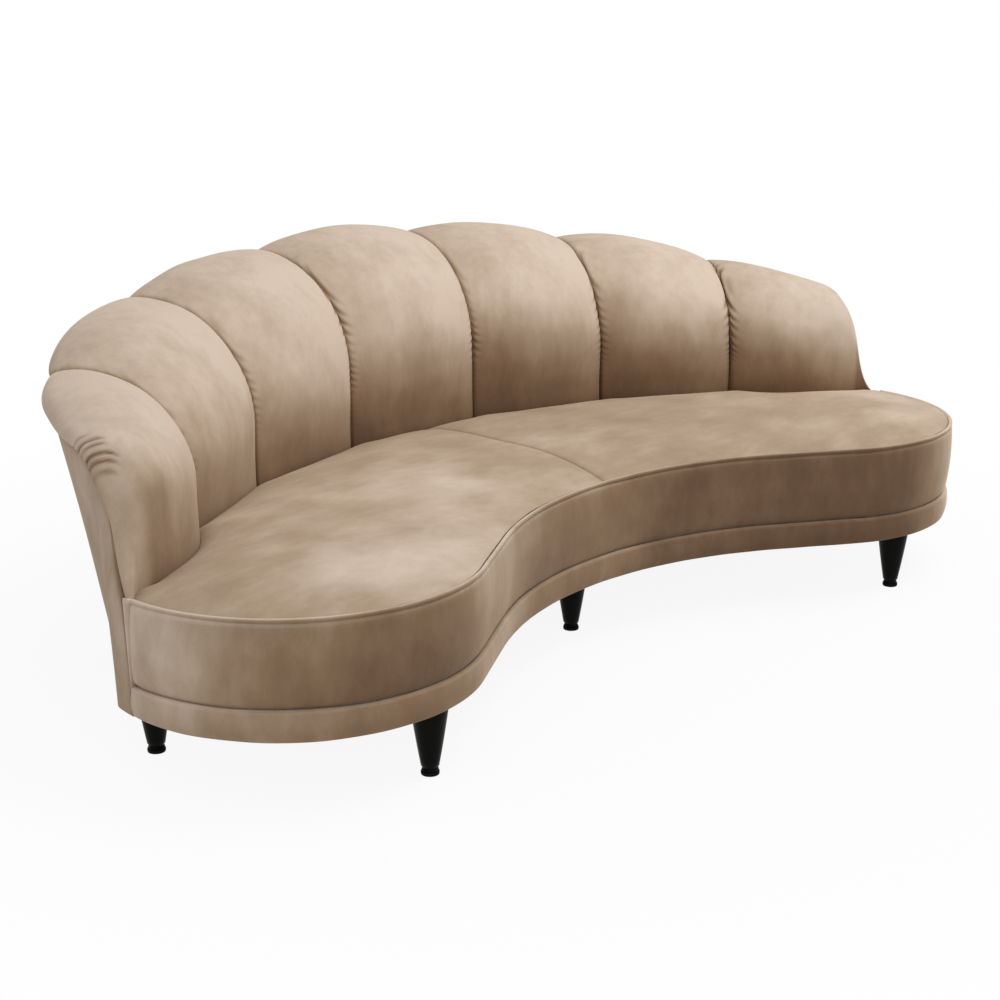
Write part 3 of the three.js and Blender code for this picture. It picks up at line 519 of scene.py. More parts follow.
@dataclass(frozen=True)
class Velvet:
    """Velvet whose colour follows a painted light and shade tone.

    Its last layer of noise is the pile, which also stands up a little.
    """

    name: str = "velvet"
    stretch: tuple[float, float, float] = (1.0, 1.0, 0.45)
    roughness: float = 0.9
    gloss: float = 0.15
    sheen: float = 0.35
    sheen_roughness: float = 0.4
    sheen_tint: tuple[float, float, float] = (0.90, 0.74, 0.58)
    bump: float = 0.25
    pile_height: float = 0.0006
    layers: tuple[Noise, ...] = (
        Noise(10.0, 4.0, 0.62, 0.30), Noise(42.0, 3.0, 0.6, 0.15), Noise(600.0, 1.0, 0.5, 0.06))
    # Colours from the darkest painted shade at 0 to the palest painted light at 1.
    tones: tuple[tuple[float, tuple[float, float, float]], ...] = (
        (0.0, (0.095, 0.050, 0.026)), (0.25, (0.172, 0.099, 0.057)), (0.5, (0.295, 0.190, 0.114)),
        (0.75, (0.470, 0.348, 0.246)), (1.0, (0.730, 0.592, 0.478)))

    def build(self) -> bpy.types.Material:
        """Makes the material, which reads the painted light and shade tone from the mesh.

        Returns:
            The material.
        """
        material = bpy.data.materials.new(self.name)
        material.use_nodes = True
        nodes, links = material.node_tree.nodes, material.node_tree.links
        shader = nodes["Principled BSDF"]
        shader.inputs["Roughness"].default_value = self.roughness
        shader.inputs["Specular IOR Level"].default_value = self.gloss
        shader.inputs["Sheen Weight"].default_value = self.sheen
        shader.inputs["Sheen Roughness"].default_value = self.sheen_roughness
        shader.inputs["Sheen Tint"].default_value = (*self.sheen_tint, 1.0)
        tone = nodes.new("ShaderNodeAttribute")
        tone.attribute_name = PAINTED_SHADING_TONE
        place = nodes.new("ShaderNodeTexCoord")
        drawn = nodes.new("ShaderNodeMapping")
        drawn.inputs["Scale"].default_value = self.stretch
        links.new(place.outputs["Object"], drawn.inputs["Vector"])
        value = tone.outputs["Fac"]
        for layer in self.layers:
            pile = self._noise(nodes, layer)
            links.new(drawn.outputs["Vector"], pile.inputs["Vector"])
            value = self._added(nodes, links, value, pile.outputs["Fac"], layer.amount)
        ramp = nodes.new("ShaderNodeValToRGB")
        stops = ramp.color_ramp.elements
        stops.remove(stops[1])
        stops[0].color = (*self.tones[0][1], 1.0)
        for place_at, color in self.tones[1:]:
            stops.new(place_at).color = (*color, 1.0)
        links.new(value, ramp.inputs["Fac"])
        links.new(ramp.outputs["Color"], shader.inputs["Base Color"])
        bump = nodes.new("ShaderNodeBump")
        bump.inputs["Strength"].default_value = self.bump
        bump.inputs["Distance"].default_value = self.pile_height
        links.new(pile.outputs["Fac"], bump.inputs["Height"])
        links.new(bump.outputs["Normal"], shader.inputs["Normal"])
        return material

    @staticmethod
    def _noise(nodes: bpy.types.Nodes, layer: Noise) -> bpy.types.Node:
        """Adds a layer's noise texture.

        Args:
            nodes: Nodes of the material.
            layer: The layer.

        Returns:
            The texture's node.
        """
        noise = nodes.new("ShaderNodeTexNoise")
        noise.inputs["Scale"].default_value = layer.scale
        noise.inputs["Detail"].default_value = layer.detail
        noise.inputs["Roughness"].default_value = layer.rough
        return noise

    @staticmethod
    def _added(nodes: bpy.types.Nodes, links: bpy.types.NodeLinks, base: bpy.types.NodeSocket,
               extra: bpy.types.NodeSocket, amount: float) -> bpy.types.NodeSocket:
        """Adds a centred share of one value to another.

        Args:
            nodes: Nodes of the material.
            links: Links of the material.
            base: Value that is changed.
            extra: Value of about 0 to 1 that is added.
            amount: How much of it is added.

        Returns:
            The sum's socket.
        """
        scaled = nodes.new("ShaderNodeMath")
        scaled.operation = "MULTIPLY_ADD"
        scaled.inputs[1].default_value = amount
        scaled.inputs[2].default_value = -amount / 2
        total = nodes.new("ShaderNodeMath")
        total.operation = "ADD"
        links.new(extra, scaled.inputs[0])
        links.new(base, total.inputs[0])
        links.new(scaled.outputs[0], total.inputs[1])
        return total.outputs[0]


class Meshes:
    """Makes closed meshes and Blender objects from rows of points."""

    @staticmethod
    def loft(name: str, rings: np.ndarray) -> bpy.types.Object:
        """Wraps a grid into a tube along rings of points and closes its two ends.

        Args:
            name: Name of the object.
            rings: Points by ring, corner and axis, in metres.

        Returns:
            The new object.
        """
        count, corners = rings.shape[:2]
        work = bmesh.new()
        bmesh.ops.create_grid(work, x_segments=corners, y_segments=count - 1, size=1.0)
        work.verts.ensure_lookup_table()
        wrapped = np.concatenate((rings, rings[:, :1]), axis=1).reshape(-1, 3)
        for vert, place in zip(work.verts, wrapped.tolist()):
            vert.co = place
        row = corners + 1
        lap = {work.verts[i * row + corners]: work.verts[i * row] for i in range(count)}
        bmesh.ops.weld_verts(work, targetmap=lap)
        rims = [edge for edge in work.edges if edge.is_boundary]
        caps = bmesh.ops.holes_fill(work, edges=rims, sides=0)["faces"]
        bmesh.ops.triangulate(work, faces=caps)
        return Meshes.link(name, work)

    @staticmethod
    def link(name: str, work: bmesh.types.BMesh) -> bpy.types.Object:
        """Turns a bmesh's faces outwards and links it to the scene as an object.

        Args:
            name: Name of the object.
            work: The bmesh, which is freed.

        Returns:
            The new object.
        """
        bmesh.ops.recalc_face_normals(work, faces=work.faces)
        if work.calc_volume(signed=True) < 0:
            bmesh.ops.reverse_faces(work, faces=work.faces)
        mesh = bpy.data.meshes.new(name)
        work.to_mesh(mesh)
        work.free()
        mesh.shade_smooth()
        made = bpy.data.objects.new(name, mesh)
        bpy.context.scene.collection.objects.link(made)
        return made

    @staticmethod
    def points(obj: bpy.types.Object) -> np.ndarray:
        """Reads a mesh's points.

        Args:
            obj: The piece.

        Returns:
            Rows of x, y and z in metres.
        """
        flat = np.empty(len(obj.data.vertices) * 3)
        obj.data.vertices.foreach_get("co", flat)
        return flat.reshape(-1, 3)

    @staticmethod
    def normals(obj: bpy.types.Object) -> np.ndarray:
        """Reads the normals at a mesh's points.

        Args:
            obj: The piece.

        Returns:
            Rows of x, y and z.
        """
        flat = np.empty(len(obj.data.vertices) * 3)
        obj.data.vertex_normals.foreach_get("vector", flat)
        return flat.reshape(-1, 3)

    @staticmethod
    def place(obj: bpy.types.Object, points: np.ndarray) -> None:
        """Writes points back into the mesh."""
        obj.data.vertices.foreach_set("co", points.ravel())
        obj.data.update()

    @staticmethod
    def revolve(name: str, profile: Sequence[tuple[float, float]], x: float, y: float,
                sides: int = 56) -> bpy.types.Object:
        """Turns a profile round an upright axis.

        Args:
            name: Name of the object.
            profile: Radii and heights in millimetres, from the axis round to the axis.
            x: Axis sideways in metres.
            y: Axis from front to back in metres.
            sides: Faces round the axis.

        Returns:
            The new object.
        """
        work = bmesh.new()
        rings = [work.verts.new((r * MM, 0.0, z * MM)) for r, z in profile]
        edges = [work.edges.new(pair) for pair in zip(rings, rings[1:])]
        bmesh.ops.spin(work, geom=rings + edges, cent=(0, 0, 0), axis=(0, 0, 1), dvec=(0, 0, 0),
                       angle=2 * math.pi, steps=sides, use_merge=True, use_duplicate=False)
        bmesh.ops.remove_doubles(work, verts=work.verts, dist=1e-6)
        bmesh.ops.translate(work, verts=work.verts, vec=(x, y, 0))
        return Meshes.link(name, work)


@dataclass(frozen=True)
class Stuffing:
    """Fills a cover by a short cloth run under pressure."""

    pressure: float = 4.0
    frames: int = 20
    cap: float = 0.006
    quality: int = 4
    mass: float = 0.3
    stiffness: float = 12.0
    bending: float = 0.6

    def fill(self, obj: bpy.types.Object, held: np.ndarray) -> None:
        """Swells a piece between its held points.

        Args:
            obj: Piece to swell.
            held: How firmly each point is held, from 0 to 1.
        """
        before = Meshes.points(obj)
        group = obj.vertex_groups.new(name="held")
        for i, weight in enumerate(held):
            group.add([i], float(weight), "REPLACE")
        cloth = obj.modifiers.new("cloth", "CLOTH")
        cloth.settings.quality = self.quality
        cloth.settings.mass = self.mass
        cloth.settings.tension_stiffness = self.stiffness
        cloth.settings.compression_stiffness = self.stiffness
        cloth.settings.bending_stiffness = self.bending
        cloth.settings.use_pressure = True
        cloth.settings.uniform_pressure_force = self.pressure
        cloth.settings.vertex_group_mass = "held"
        cloth.settings.effector_weights.gravity = 0
        cloth.collision_settings.use_collision = False
        cloth.point_cache.frame_start = 1
        cloth.point_cache.frame_end = self.frames
        scene = bpy.context.scene
        for number in range(1, self.frames + 1):
            scene.frame_set(number)
        shown = obj.evaluated_get(bpy.context.evaluated_depsgraph_get()).to_mesh()
        flat = np.empty(len(shown.vertices) * 3)
        shown.vertices.foreach_get("co", flat)
        obj.modifiers.remove(cloth)
        obj.vertex_groups.remove(group)
        scene.frame_set(1)
        moved = flat.reshape(-1, 3) - before
        size = np.linalg.norm(moved, axis=1, keepdims=True)
        shrink = self.cap * np.tanh(size / self.cap) / np.maximum(size, 1e-9)
        Meshes.place(obj, before + moved * shrink)

    @staticmethod
    def subdivide(obj: bpy.types.Object) -> None:
        """Subdivides a piece once and keeps the result.

        Args:
            obj: The piece.
        """
        levels = obj.modifiers.new("subdivide", "SUBSURF")
        levels.levels = levels.render_levels = 1
        shown = obj.evaluated_get(bpy.context.evaluated_depsgraph_get())
        mesh = bpy.data.meshes.new_from_object(shown)
        obj.modifiers.clear()
        old, obj.data = obj.data, mesh
        bpy.data.meshes.remove(old)
        mesh.name = obj.name
        mesh.shade_smooth()


class Falloff(NamedTuple):
    """Something that is strongest at a line: its amount there and its width in millimetres."""

    amount: float
    width: float

    def sharp(self, gap: np.ndarray) -> np.ndarray:
        """Returns what is left of it at a gap, with a sharp peak at the line."""
        return self.amount * np.exp(-gap / self.width)

    def soft(self, gap: np.ndarray) -> np.ndarray:
        """Returns what is left of it at a gap, with a round peak at the line."""
        return self.amount * np.exp(-((gap / self.width) ** 2))


class Ramp(NamedTuple):
    """A change of tone along the sofa: where it starts and ends in millimetres, and its amount."""

    start: float
    end: float
    amount: float

    def at(self, x: np.ndarray) -> np.ndarray:
        """Returns how much of it there is at places sideways."""
        return self.amount * smooth(self.start, self.end, x)


class Glow(NamedTuple):
    """A painted pool of light on the seat: its centre and half widths in millimetres, and its strength."""

    x: float
    y: float
    wide: float
    deep: float
    strength: float

    def at(self, x: np.ndarray, y: np.ndarray) -> np.ndarray:
        """Returns its strength at plan places."""
        return self.strength * np.exp(-(((x - self.x) / self.wide) ** 2) - ((y - self.y) / self.deep) ** 2)


class Swell(NamedTuple):
    """Shares of a channel's swell that are left at its foot, at its crest and at its rim."""

    foot: float
    crest: float
    rim: float


@dataclass(frozen=True)
class Flutes:
    """Seams of the back and the swell of the channels between them, in millimetres."""

    back: BackShape
    seams: tuple[float, ...] = (-1.0, -0.728, -0.449, -0.156, 0.156, 0.449, 0.728, 1.0)
    crown: float = 30.0
    arm_crown: float = 52.0
    arm_end_crown: float = 43.0
    end_share: float = 0.025
    inner: Swell = Swell(foot=0.6, crest=0.88, rim=0.7)
    arm: Swell = Swell(foot=1.0, crest=0.35, rim=0.3)

    @property
    def count(self) -> int:
        """How many channels there are."""
        return len(self.seams) - 1

    def is_arm(self, index: int) -> bool:
        """Returns whether a channel is one of the arms."""
        return index in (0, self.count - 1)

    def swell(self, index: int) -> Swell:
        """Returns the shares of a channel's swell."""
        return self.arm if self.is_arm(index) else self.inner

    def crown_at(self, index: int, w: np.ndarray) -> np.ndarray:
        """Works out how far a channel swells.

        Args:
            index: Number of the channel from 0.
            w: Places from -1 to 1 across it.

        Returns:
            The swell at each place.
        """
        full = self.arm_crown if self.is_arm(index) else self.crown
        plain = full * np.maximum(1 - w * w, 0) ** 0.75
        if not self.is_arm(index):
            return plain
        outward = -w if index == 0 else w
        u = mix(self.seams[-1], self.seams[-2], (1 - outward) / 2)
        nose = np.maximum(u - (1 - self.end_share), 0) / self.end_share
        fading = np.sqrt(1 - 0.7 * np.minimum(nose, 1) ** 2)
        ending = mix(self.arm_crown, self.arm_end_crown, outward**2) * fading
        return np.where(outward <= 0, plain, ending)

    def lean_at(self, u: np.ndarray) -> np.ndarray:
        """Works out how far the channels' feet reach over the seat.

        Args:
            u: Shares of the half angle.

        Returns:
            The reach at each of them.
        """
        total = np.zeros(u.shape)
        for index, (start, end) in enumerate(zip(self.seams, self.seams[1:])):
            across = np.clip((2 * u - start - end) / (end - start), -1, 1)
            reach = self.crown_at(index, across) * self.swell(index).foot + self.back.seam_lean(u)
            total = np.where((u >= start) & (u <= end), reach, total)
        return total


@dataclass(frozen=True)
class ArmEnd:
    """How the arms run down to the border's corners, in millimetres."""

    nose_reach: float = 80.0
    panel_reach: float = 57.0
    border_lean: float = 20.0
    top_lean: float = 20.0

    @staticmethod
    def fall(left: np.ndarray, side: np.ndarray) -> np.ndarray:
        """Returns the share of the height that is left where a share of the nose's way is left."""
        return left ** (2.5 + 0.5 * side)


@dataclass(frozen=True)
class Skin:
    """A piece's points in plan millimetres, its normals and its shares of the back's half angle."""

    x: np.ndarray
    y: np.ndarray
    z: np.ndarray
    normals: np.ndarray
    u: np.ndarray

    @property
    def radius(self) -> np.ndarray:
        """Distances from the centre of the back's arc."""
        return np.hypot(self.x, self.y)

    @property
    def blotch(self) -> np.ndarray:
        """Broad light and dark patches of the nap, about -1.6 to 1.6."""
        return ripple(self.x, self.y, self.z, 230.0, 70) + 0.6 * ripple(self.x, self.y, self.z, 90.0, 71)


@dataclass(frozen=True)
class EdgePaintedShading:
    """Painted light and shade along the front and on the strips beside it."""

    heights: Heights
    base: float = 0.33
    patches: float = 0.05
    # Painted light from above on upward faces.
    painted_top_light: float = 0.16
    painted_sheen: float = 0.52
    # Plan way of the painted sheen: faces turned side-on to it are painted lighter.
    painted_sheen_way: tuple[float, float] = (0.667, 0.745)
    # Painted light towards the two ends, and painted shade from the middle to the right.
    ends: tuple[Ramp, ...] = (
        Ramp(-780, -1060, 0.26), Ramp(-1090, -1150, 0.16), Ramp(690, 980, 0.40), Ramp(50, 500, -0.10))
    low_height: float = 150.0
    low_shade: float = 0.15
    seam_shade: Falloff = Falloff(0.22, 3.0)

    def tone(self, skin: Skin) -> np.ndarray:
        """Works out the painted light and shade: light from above, a painted sheen, painted light towards the
        ends, painted shade low on the border and at the band's seam, and random patches.

        Args:
            skin: The piece's points.

        Returns:
            A tone of about 0 to 1 at each point.
        """
        x, z, band = skin.x, skin.z, self.heights.band
        turned = np.abs(skin.normals[:, 0] * self.painted_sheen_way[0] + skin.normals[:, 1] * self.painted_sheen_way[1])
        low = (1 - smooth(band, band + self.low_height, z)) * smooth(band - 3.0, band + 1.0, z)
        low *= smooth(-1120, -1000, x) * (1 - smooth(-420, 0, x))
        painted_shading_tone = self.base + self.patches * skin.blotch + self.painted_top_light * skin.normals[:, 2]
        painted_shading_tone += self.painted_sheen * (1 - turned) ** 1.3 + sum(ramp.at(x) for ramp in self.ends)
        return painted_shading_tone - self.low_shade * low - self.seam_shade.soft(z - band)


@dataclass(frozen=True)
class VelvetWork:
    """What all the velvet sub-assemblies share."""

    plan: Plan
    heights: Heights
    back: BackShape
    flutes: Flutes
    arm_end: ArmEnd
    velvet: dict[NapWay, bpy.types.Material]

    def skin(self, piece: bpy.types.Object) -> Skin:
        """Reads a piece's points and normals.

        Args:
            piece: The piece.

        Returns:
            Its skin.
        """
        x, y, z = Meshes.points(piece).T / MM
        y = y + self.plan.centre_y
        return Skin(x, y, z, Meshes.normals(piece), np.arctan2(x, y) / self.plan.end_angle)

    def from_rim(self, skin: Skin) -> np.ndarray:
        """Returns how far points lie from the rim between the channels and the outer panel."""
        rim_s, rim_z = self.back.rim(skin.u)
        return np.hypot(skin.radius - self.plan.seat_r - rim_s, skin.z - rim_z)

    @staticmethod
    def soften(piece: bpy.types.Object, amount: float, seed: int) -> None:
        """Adds soft dents to a piece.

        Args:
            piece: The piece.
            amount: Their depth in millimetres.
            seed: Seed of their pattern.
        """
        points = Meshes.points(piece)
        x, y, z = points.T / MM
        move = amount * ripple(x, y, z * 0.4, 160.0, seed) * MM
        Meshes.place(piece, points + Meshes.normals(piece) * move[:, None])

    def finish(self, piece: bpy.types.Object, tone: np.ndarray, nodes: tuple[str, ...],
               fill: float | None = None, way: NapWay = NapWay.UPRIGHT) -> None:
        """Dresses a velvet piece and ties it to the frame.

        Args:
            piece: The piece.
            tone: Painted light and shade at each point, from 0 to 1.
            nodes: CAD nodes that it stands for.
            fill: How tightly it is stuffed, where it is padded; not used.
            way: Which way its nap is drawn.
        """
        colors = np.repeat(np.clip(tone, 0, 1)[:, None], 4, axis=1)
        colors[:, 3] = 1
        layer = piece.data.color_attributes.new(PAINTED_SHADING_TONE, "FLOAT_COLOR", "POINT")
        layer.data.foreach_set("color", colors.ravel())
        piece.data.materials.clear()
        piece.data.materials.append(self.velvet[way])
        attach(piece, "root")
        if nodes:
            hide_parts(*nodes)
        LOG.info("made %s with %d faces", piece.name, len(piece.data.polygons))


class Pleat(NamedTuple):
    """A short pleat: its share of the half angle, and its start, length and depth in millimetres."""

    share: float
    begin: float
    length: float
    depth: float


class Fade(NamedTuple):
    """Shares of a channel's height where its painted light starts and ends, and its tone below."""

    low: float
    top: float
    base: float


@dataclass(frozen=True)
class Channels(VelvetWork):
    """The seven stuffed channels of the back, in millimetres."""

    foot_gap: float = 0.6
    seam_gap: float = 0.3
    knee_rise: float = 45.0
    settle_rise: float = 90.0
    rim_wall: float = 14.0
    thickness: float = 11.0
    nose_sink: float = 3.0
    nose_width: float = 9.0
    nose_blend: int = 15
    nose_light: float = 0.26
    least_fall: float = 0.004
    steps: int = 40
    arm_steps: int = 64
    dents: float = 1.3
    gather_pitch: float = 15.0
    gather_width: float = 13.0
    gather_depth: float = 2.6
    gather_shade: float = 0.9 / 2.9
    pleat_width: float = 2.1
    pleat_shade: float = 0.34
    crease_shade: float = 0.42
    pleats: tuple[Pleat, ...] = (
        Pleat(0.9385, 14.0, 12.0, 2.0), Pleat(0.9470, 9.0, 32.0, 3.2), Pleat(0.9545, 15.0, 24.0, 2.6),
        Pleat(0.9630, 8.0, 36.0, 3.6), Pleat(0.9700, 12.0, 26.0, 3.0), Pleat(0.9780, 14.0, 16.0, 1.8))
    fades: tuple[Fade, ...] = (
        Fade(0.10, 0.80, 0.56), Fade(0.05, 0.80, 0.57), Fade(-0.02, 0.56, 0.40), Fade(0.03, 0.62, 0.34),
        Fade(0.04, 0.74, 0.32), Fade(0.05, 0.80, 0.30), Fade(0.10, 0.72, 0.31))
    left_arm_low: float = 0.55
    left_arm_top: float = 1.07
    light: float = 0.95
    patches: float = 0.045
    side_light: float = 0.09
    seam_shade: Falloff = Falloff(0.16, 6.0)
    foot_shade: Falloff = Falloff(0.24, 13.0)
    arm_foot_shade: Falloff = Falloff(0.30, 30.0)
    rim_shade: Falloff = Falloff(0.26, 6.0)
    stuffing: Stuffing = Stuffing()

    def build(self) -> None:
        """Makes the channels."""
        for index in range(self.flutes.count):
            rings, held = self.rings(index)
            piece = Meshes.loft(f"channel_{index + 1}", rings)
            self.stuffing.fill(piece, held.ravel())
            Stuffing.subdivide(piece)
            creases = self.gather(piece, index)
            tone = self.tone(self.skin(piece)) - self.crease_shade * creases
            self.finish(piece, tone, (f"back_channel_{index + 1}",), 0.85)

    def places(self, index: int) -> tuple[np.ndarray, np.ndarray]:
        """Spreads a channel's sections, closer together at its seams.

        Args:
            index: Number of the channel from 0.

        Returns:
            The sections' places from -1 to 1 across it, and their shares of the half angle.
        """
        steps = self.arm_steps if self.flutes.is_arm(index) else self.steps
        across = -np.cos(np.linspace(0, math.pi, steps + 1))
        across = mix(across, np.linspace(-1, 1, steps + 1), 0.45)[:, None]
        gap = self.seam_gap / self.plan.seat_r / self.plan.end_angle
        start, end = self.flutes.seams[index] + gap, self.flutes.seams[index + 1] - gap
        return across, (start + end) / 2 + across * (end - start) / 2

    def face(self, index: int, across: np.ndarray, u: np.ndarray) -> tuple[np.ndarray, np.ndarray]:
        """Works out a channel's covered side, from the seat over the crest to the rim.

        Args:
            index: Number of the channel from 0.
            across: The sections' places from -1 to 1 across it.
            u: Their shares of the half angle.

        Returns:
            Places outwards and heights, by section and point.
        """
        swell = self.flutes.swell(index)
        crown, lean = self.flutes.crown_at(index, across), self.back.seam_lean(u)
        foot = self.heights.seat + self.foot_gap
        knee = np.maximum(self.back.crest_z(u) - self.back.rise(u), foot + self.knee_rise)
        low_z = mix(foot, knee, np.linspace(0, 1, 37)[None, :-1])
        settled = mix(swell.foot, 1.0, np.clip((low_z - foot - self.knee_rise) / self.settle_rise, 0, 1))
        low_s = -crown * settled - lean
        share = np.linspace(0, 1, 66)[None, :]
        outward = -crown * mix(1.0, swell.crest, share) - lean * (1 - share)
        bend_s, bend_z = self.back.crest(u, share * math.pi / 2, outward)
        share = np.linspace(0, 1, 16)[None, 1:]
        roll_s, roll_z = self.back.roll(u, share * math.pi / 2, -crown * mix(swell.crest, swell.rim, share))
        return eased(np.hstack((low_s, bend_s, roll_s))), eased(np.hstack((low_z, bend_z, roll_z)))

    def hidden(self, u: np.ndarray) -> tuple[np.ndarray, np.ndarray]:
        """Works out a channel's hidden side, from the rim down to the seat.

        Args:
            u: The sections' shares of the half angle.

        Returns:
            Places outwards and heights, by section and point.
        """
        rim_s, rim_z = self.back.rim(u)
        wall = rim_s - self.rim_wall
        depth = np.minimum(self.thickness, wall)
        bend_s, bend_z = self.back.crest(u, np.linspace(math.pi / 2, 0, 9)[None, :], depth)
        order = np.arange(1, bend_z.shape[1] + 1)[None, :]
        bend_z = np.minimum(bend_z, np.maximum(rim_z - order * 0.3, self.back.crest_z(u) - self.thickness))
        lip_s = np.minimum(self.back.crest_s(u) + self.back.roll_s(u) / 2, wall)
        foot_z = np.full(u.shape, self.heights.seat + self.foot_gap)
        return np.hstack((lip_s, np.minimum(bend_s, wall), depth)), np.hstack((rim_z, bend_z, foot_z))

    def rings(self, index: int) -> tuple[np.ndarray, np.ndarray]:
        """Works out a channel's sections.

        Args:
            index: Number of the channel from 0.

        Returns:
            The rings of points in metres, and how firmly each point is held.
        """
        across, u = self.places(index)
        face_s, face_z = self.face(index, across, u)
        hidden_s, hidden_z = self.hidden(u)
        ring_s, ring_z = np.hstack((face_s, hidden_s)), np.hstack((face_z, hidden_z))
        faces = face_s.shape[1]
        free = np.sin(math.pi * np.linspace(0, 1, faces)) ** 0.5
        held = np.ones(ring_s.shape)
        held[:, :faces] = 1 - free[None, :] * np.maximum(1 - across**2, 0) ** 0.5
        rings = self.plan.polar(u * self.plan.end_angle, self.plan.seat_r + ring_s, ring_z)
        if not self.flutes.is_arm(index):
            return rings, held
        side, end = (-1, 0) if index == 0 else (1, -1)
        nose = self.nose(ring_s[end], ring_z[end], faces, side)
        rings = np.concatenate((rings[::side], nose))
        held = np.concatenate((held[::side], np.ones(nose.shape[:2])))
        self.blend(rings[-len(nose) - self.nose_blend:, :faces])
        return rings[::side], held[::side]

    @staticmethod
    def blend(face: np.ndarray) -> None:
        """Eases an arm's covered side into its nose in place, and keeps the rim.

        Args:
            face: Points by ring, place along it and axis.
        """
        count = face.shape[1]
        inner = smooth(1.0, 0.8, np.arange(count) / (count - 1))[None, :, None]
        face[:] = mix(face, eased(face.swapaxes(0, 1)).swapaxes(0, 1), inner)

    def nose(self, end_s: np.ndarray, end_z: np.ndarray, faces: int, side: int) -> np.ndarray:
        """Carries an arm's last section down to the corner of the border.

        Args:
            end_s: Outward places of the last section's points.
            end_z: Their heights.
            faces: How many of them are on the covered side.
            side: 1 for the right arm, -1 for the left one.

        Returns:
            The rings of points in metres, away from the arm.
        """
        foot, lift = self.heights.seat - self.nose_sink, self.nose_sink + self.foot_gap
        top = float(self.back.crest_z(np.array(1.0)))
        above = np.clip((end_z - self.heights.seat) / (top - self.heights.seat), 0, 1)
        wall = self.plan.edge_inset - self.arm_end.top_lean * above[faces:] - 12.0
        s = end_s.copy()
        s[faces:] = np.maximum(s[faces:], wall)
        angle, radius = self.plan.end_angle, self.plan.seat_r + s
        x0, y0 = radius * math.sin(angle), radius * math.cos(angle)
        width = np.clip((s - s.min()) / (s.max() - s.min()), 0, 1)
        tip = self.nose_width * (1 - width) - 0.5
        x1, y1 = self.plan.lobe_point(np.array(self.arm_end.nose_reach), tip)
        rows = []
        for gone in np.linspace(0, 0.97, 19)[1:]:
            fall = np.maximum(self.arm_end.fall(1 - gone, side), self.least_fall)
            z = foot + (end_z - foot - lift) * fall + lift * gone * fall
            rows.append(self.plan.plain(side * mix(x0, x1, gone), mix(y0, y1, gone), z))
        return np.array(rows)

    def gather(self, piece: bpy.types.Object, index: int) -> np.ndarray:
        """Adds soft dents, short gathers along a channel's seams and the pleats of an arm's end.

        Args:
            piece: The channel.
            index: Its number from 0.

        Returns:
            How deep in a gather each point lies, from 0 to about 1.
        """
        skin = self.skin(piece)
        move = self.dents * ripple(skin.x, skin.y, skin.z, 170.0, 11 + index)
        creases = np.zeros(move.shape)
        for side in (0, 1):
            if abs(self.flutes.seams[index + side]) < 1:
                drawn = self.gathers(skin, index, side)
                move -= drawn
                creases += self.gather_shade * drawn
        if self.flutes.is_arm(index):
            drawn = self.pleated(skin)
            move -= drawn
            creases += self.pleat_shade * drawn
        Meshes.place(piece, Meshes.points(piece) + skin.normals * (move * MM)[:, None])
        return creases

    def gathers(self, skin: Skin, index: int, side: int) -> np.ndarray:
        """Works out the gathers along one of a channel's seams.

        Args:
            skin: The channel's points.
            index: Its number from 0.
            side: 0 for its left seam, 1 for its right one.

        Returns:
            How deep each point is drawn in, in millimetres.
        """
        s = skin.radius - self.plan.seat_r
        high = (skin.z - self.heights.seat) / (self.back.crest_z(skin.u) - self.heights.seat)
        bend = smooth(0.25, 0.45, high) * smooth(150, 60, s)
        gap = np.abs(skin.u - self.flutes.seams[index + side]) * self.plan.end_angle * skin.radius
        along, still = skin.z - 0.8 * s, np.zeros(s.shape)
        wobble = ripple(along, still, still, 90.0, 40 + index + side)
        uneven = ripple(along, still, still, 120.0, 60 + index + side)
        wave = 0.5 + 0.5 * np.sin(2 * math.pi * along / self.gather_pitch + 2.5 * wobble)
        depth = (0.3 + (self.gather_depth - side) * bend) * np.clip(0.7 + 0.6 * uneven, 0, 2)
        return depth * (wave**2 * np.exp(-((gap / self.gather_width) ** 2)))

    def pleated(self, skin: Skin) -> np.ndarray:
        """Works out the pleats that run from the rim of an arm's end.

        Args:
            skin: The arm's points.

        Returns:
            How deep each point is drawn in, in millimetres.
        """
        away = self.from_rim(skin)
        half = self.plan.end_angle * skin.radius
        drawn = np.zeros(away.shape)
        for share, begin, length, depth in self.pleats:
            line = (np.abs(skin.u) - share) * half - 0.10 * away - 1.5 * np.sin(away / 9.0 + 60 * share)
            end = begin + length
            fold = np.exp(-((line / self.pleat_width) ** 2)) * smooth(begin - 7, begin + 7, away)
            drawn += depth * (fold * smooth(end + 9, end - 9, away))
        return drawn

    def painted_height_light(self, skin: Skin, index: np.ndarray, arm: np.ndarray) -> np.ndarray:
        """Works out the painted light up a channel's height, lighter towards the crest, with random patches.

        Args:
            skin: The channel's points.
            index: Number of the channel that each point lies on.
            arm: 1 on the left arm's end, 0 away from it.

        Returns:
            A tone of about 0 to 1 at each point.
        """
        crest = self.back.crest_z(np.minimum(np.abs(skin.u), 0.93))
        high = (skin.z - self.heights.seat) / (crest - self.heights.seat)
        high += self.patches * skin.blotch
        low, top, base = np.array(self.fades)[index].T
        low, top = mix(low, self.left_arm_low, arm), mix(top, self.left_arm_top, arm)
        base = base + 0.10 * smooth(0.86, 0.95, skin.u)
        share = np.clip((high - low) / (top - low), 0, 1)
        return base + (self.light - base) * mix(share, smooth(0, 1, share), 0.25 + 0.75 * arm)

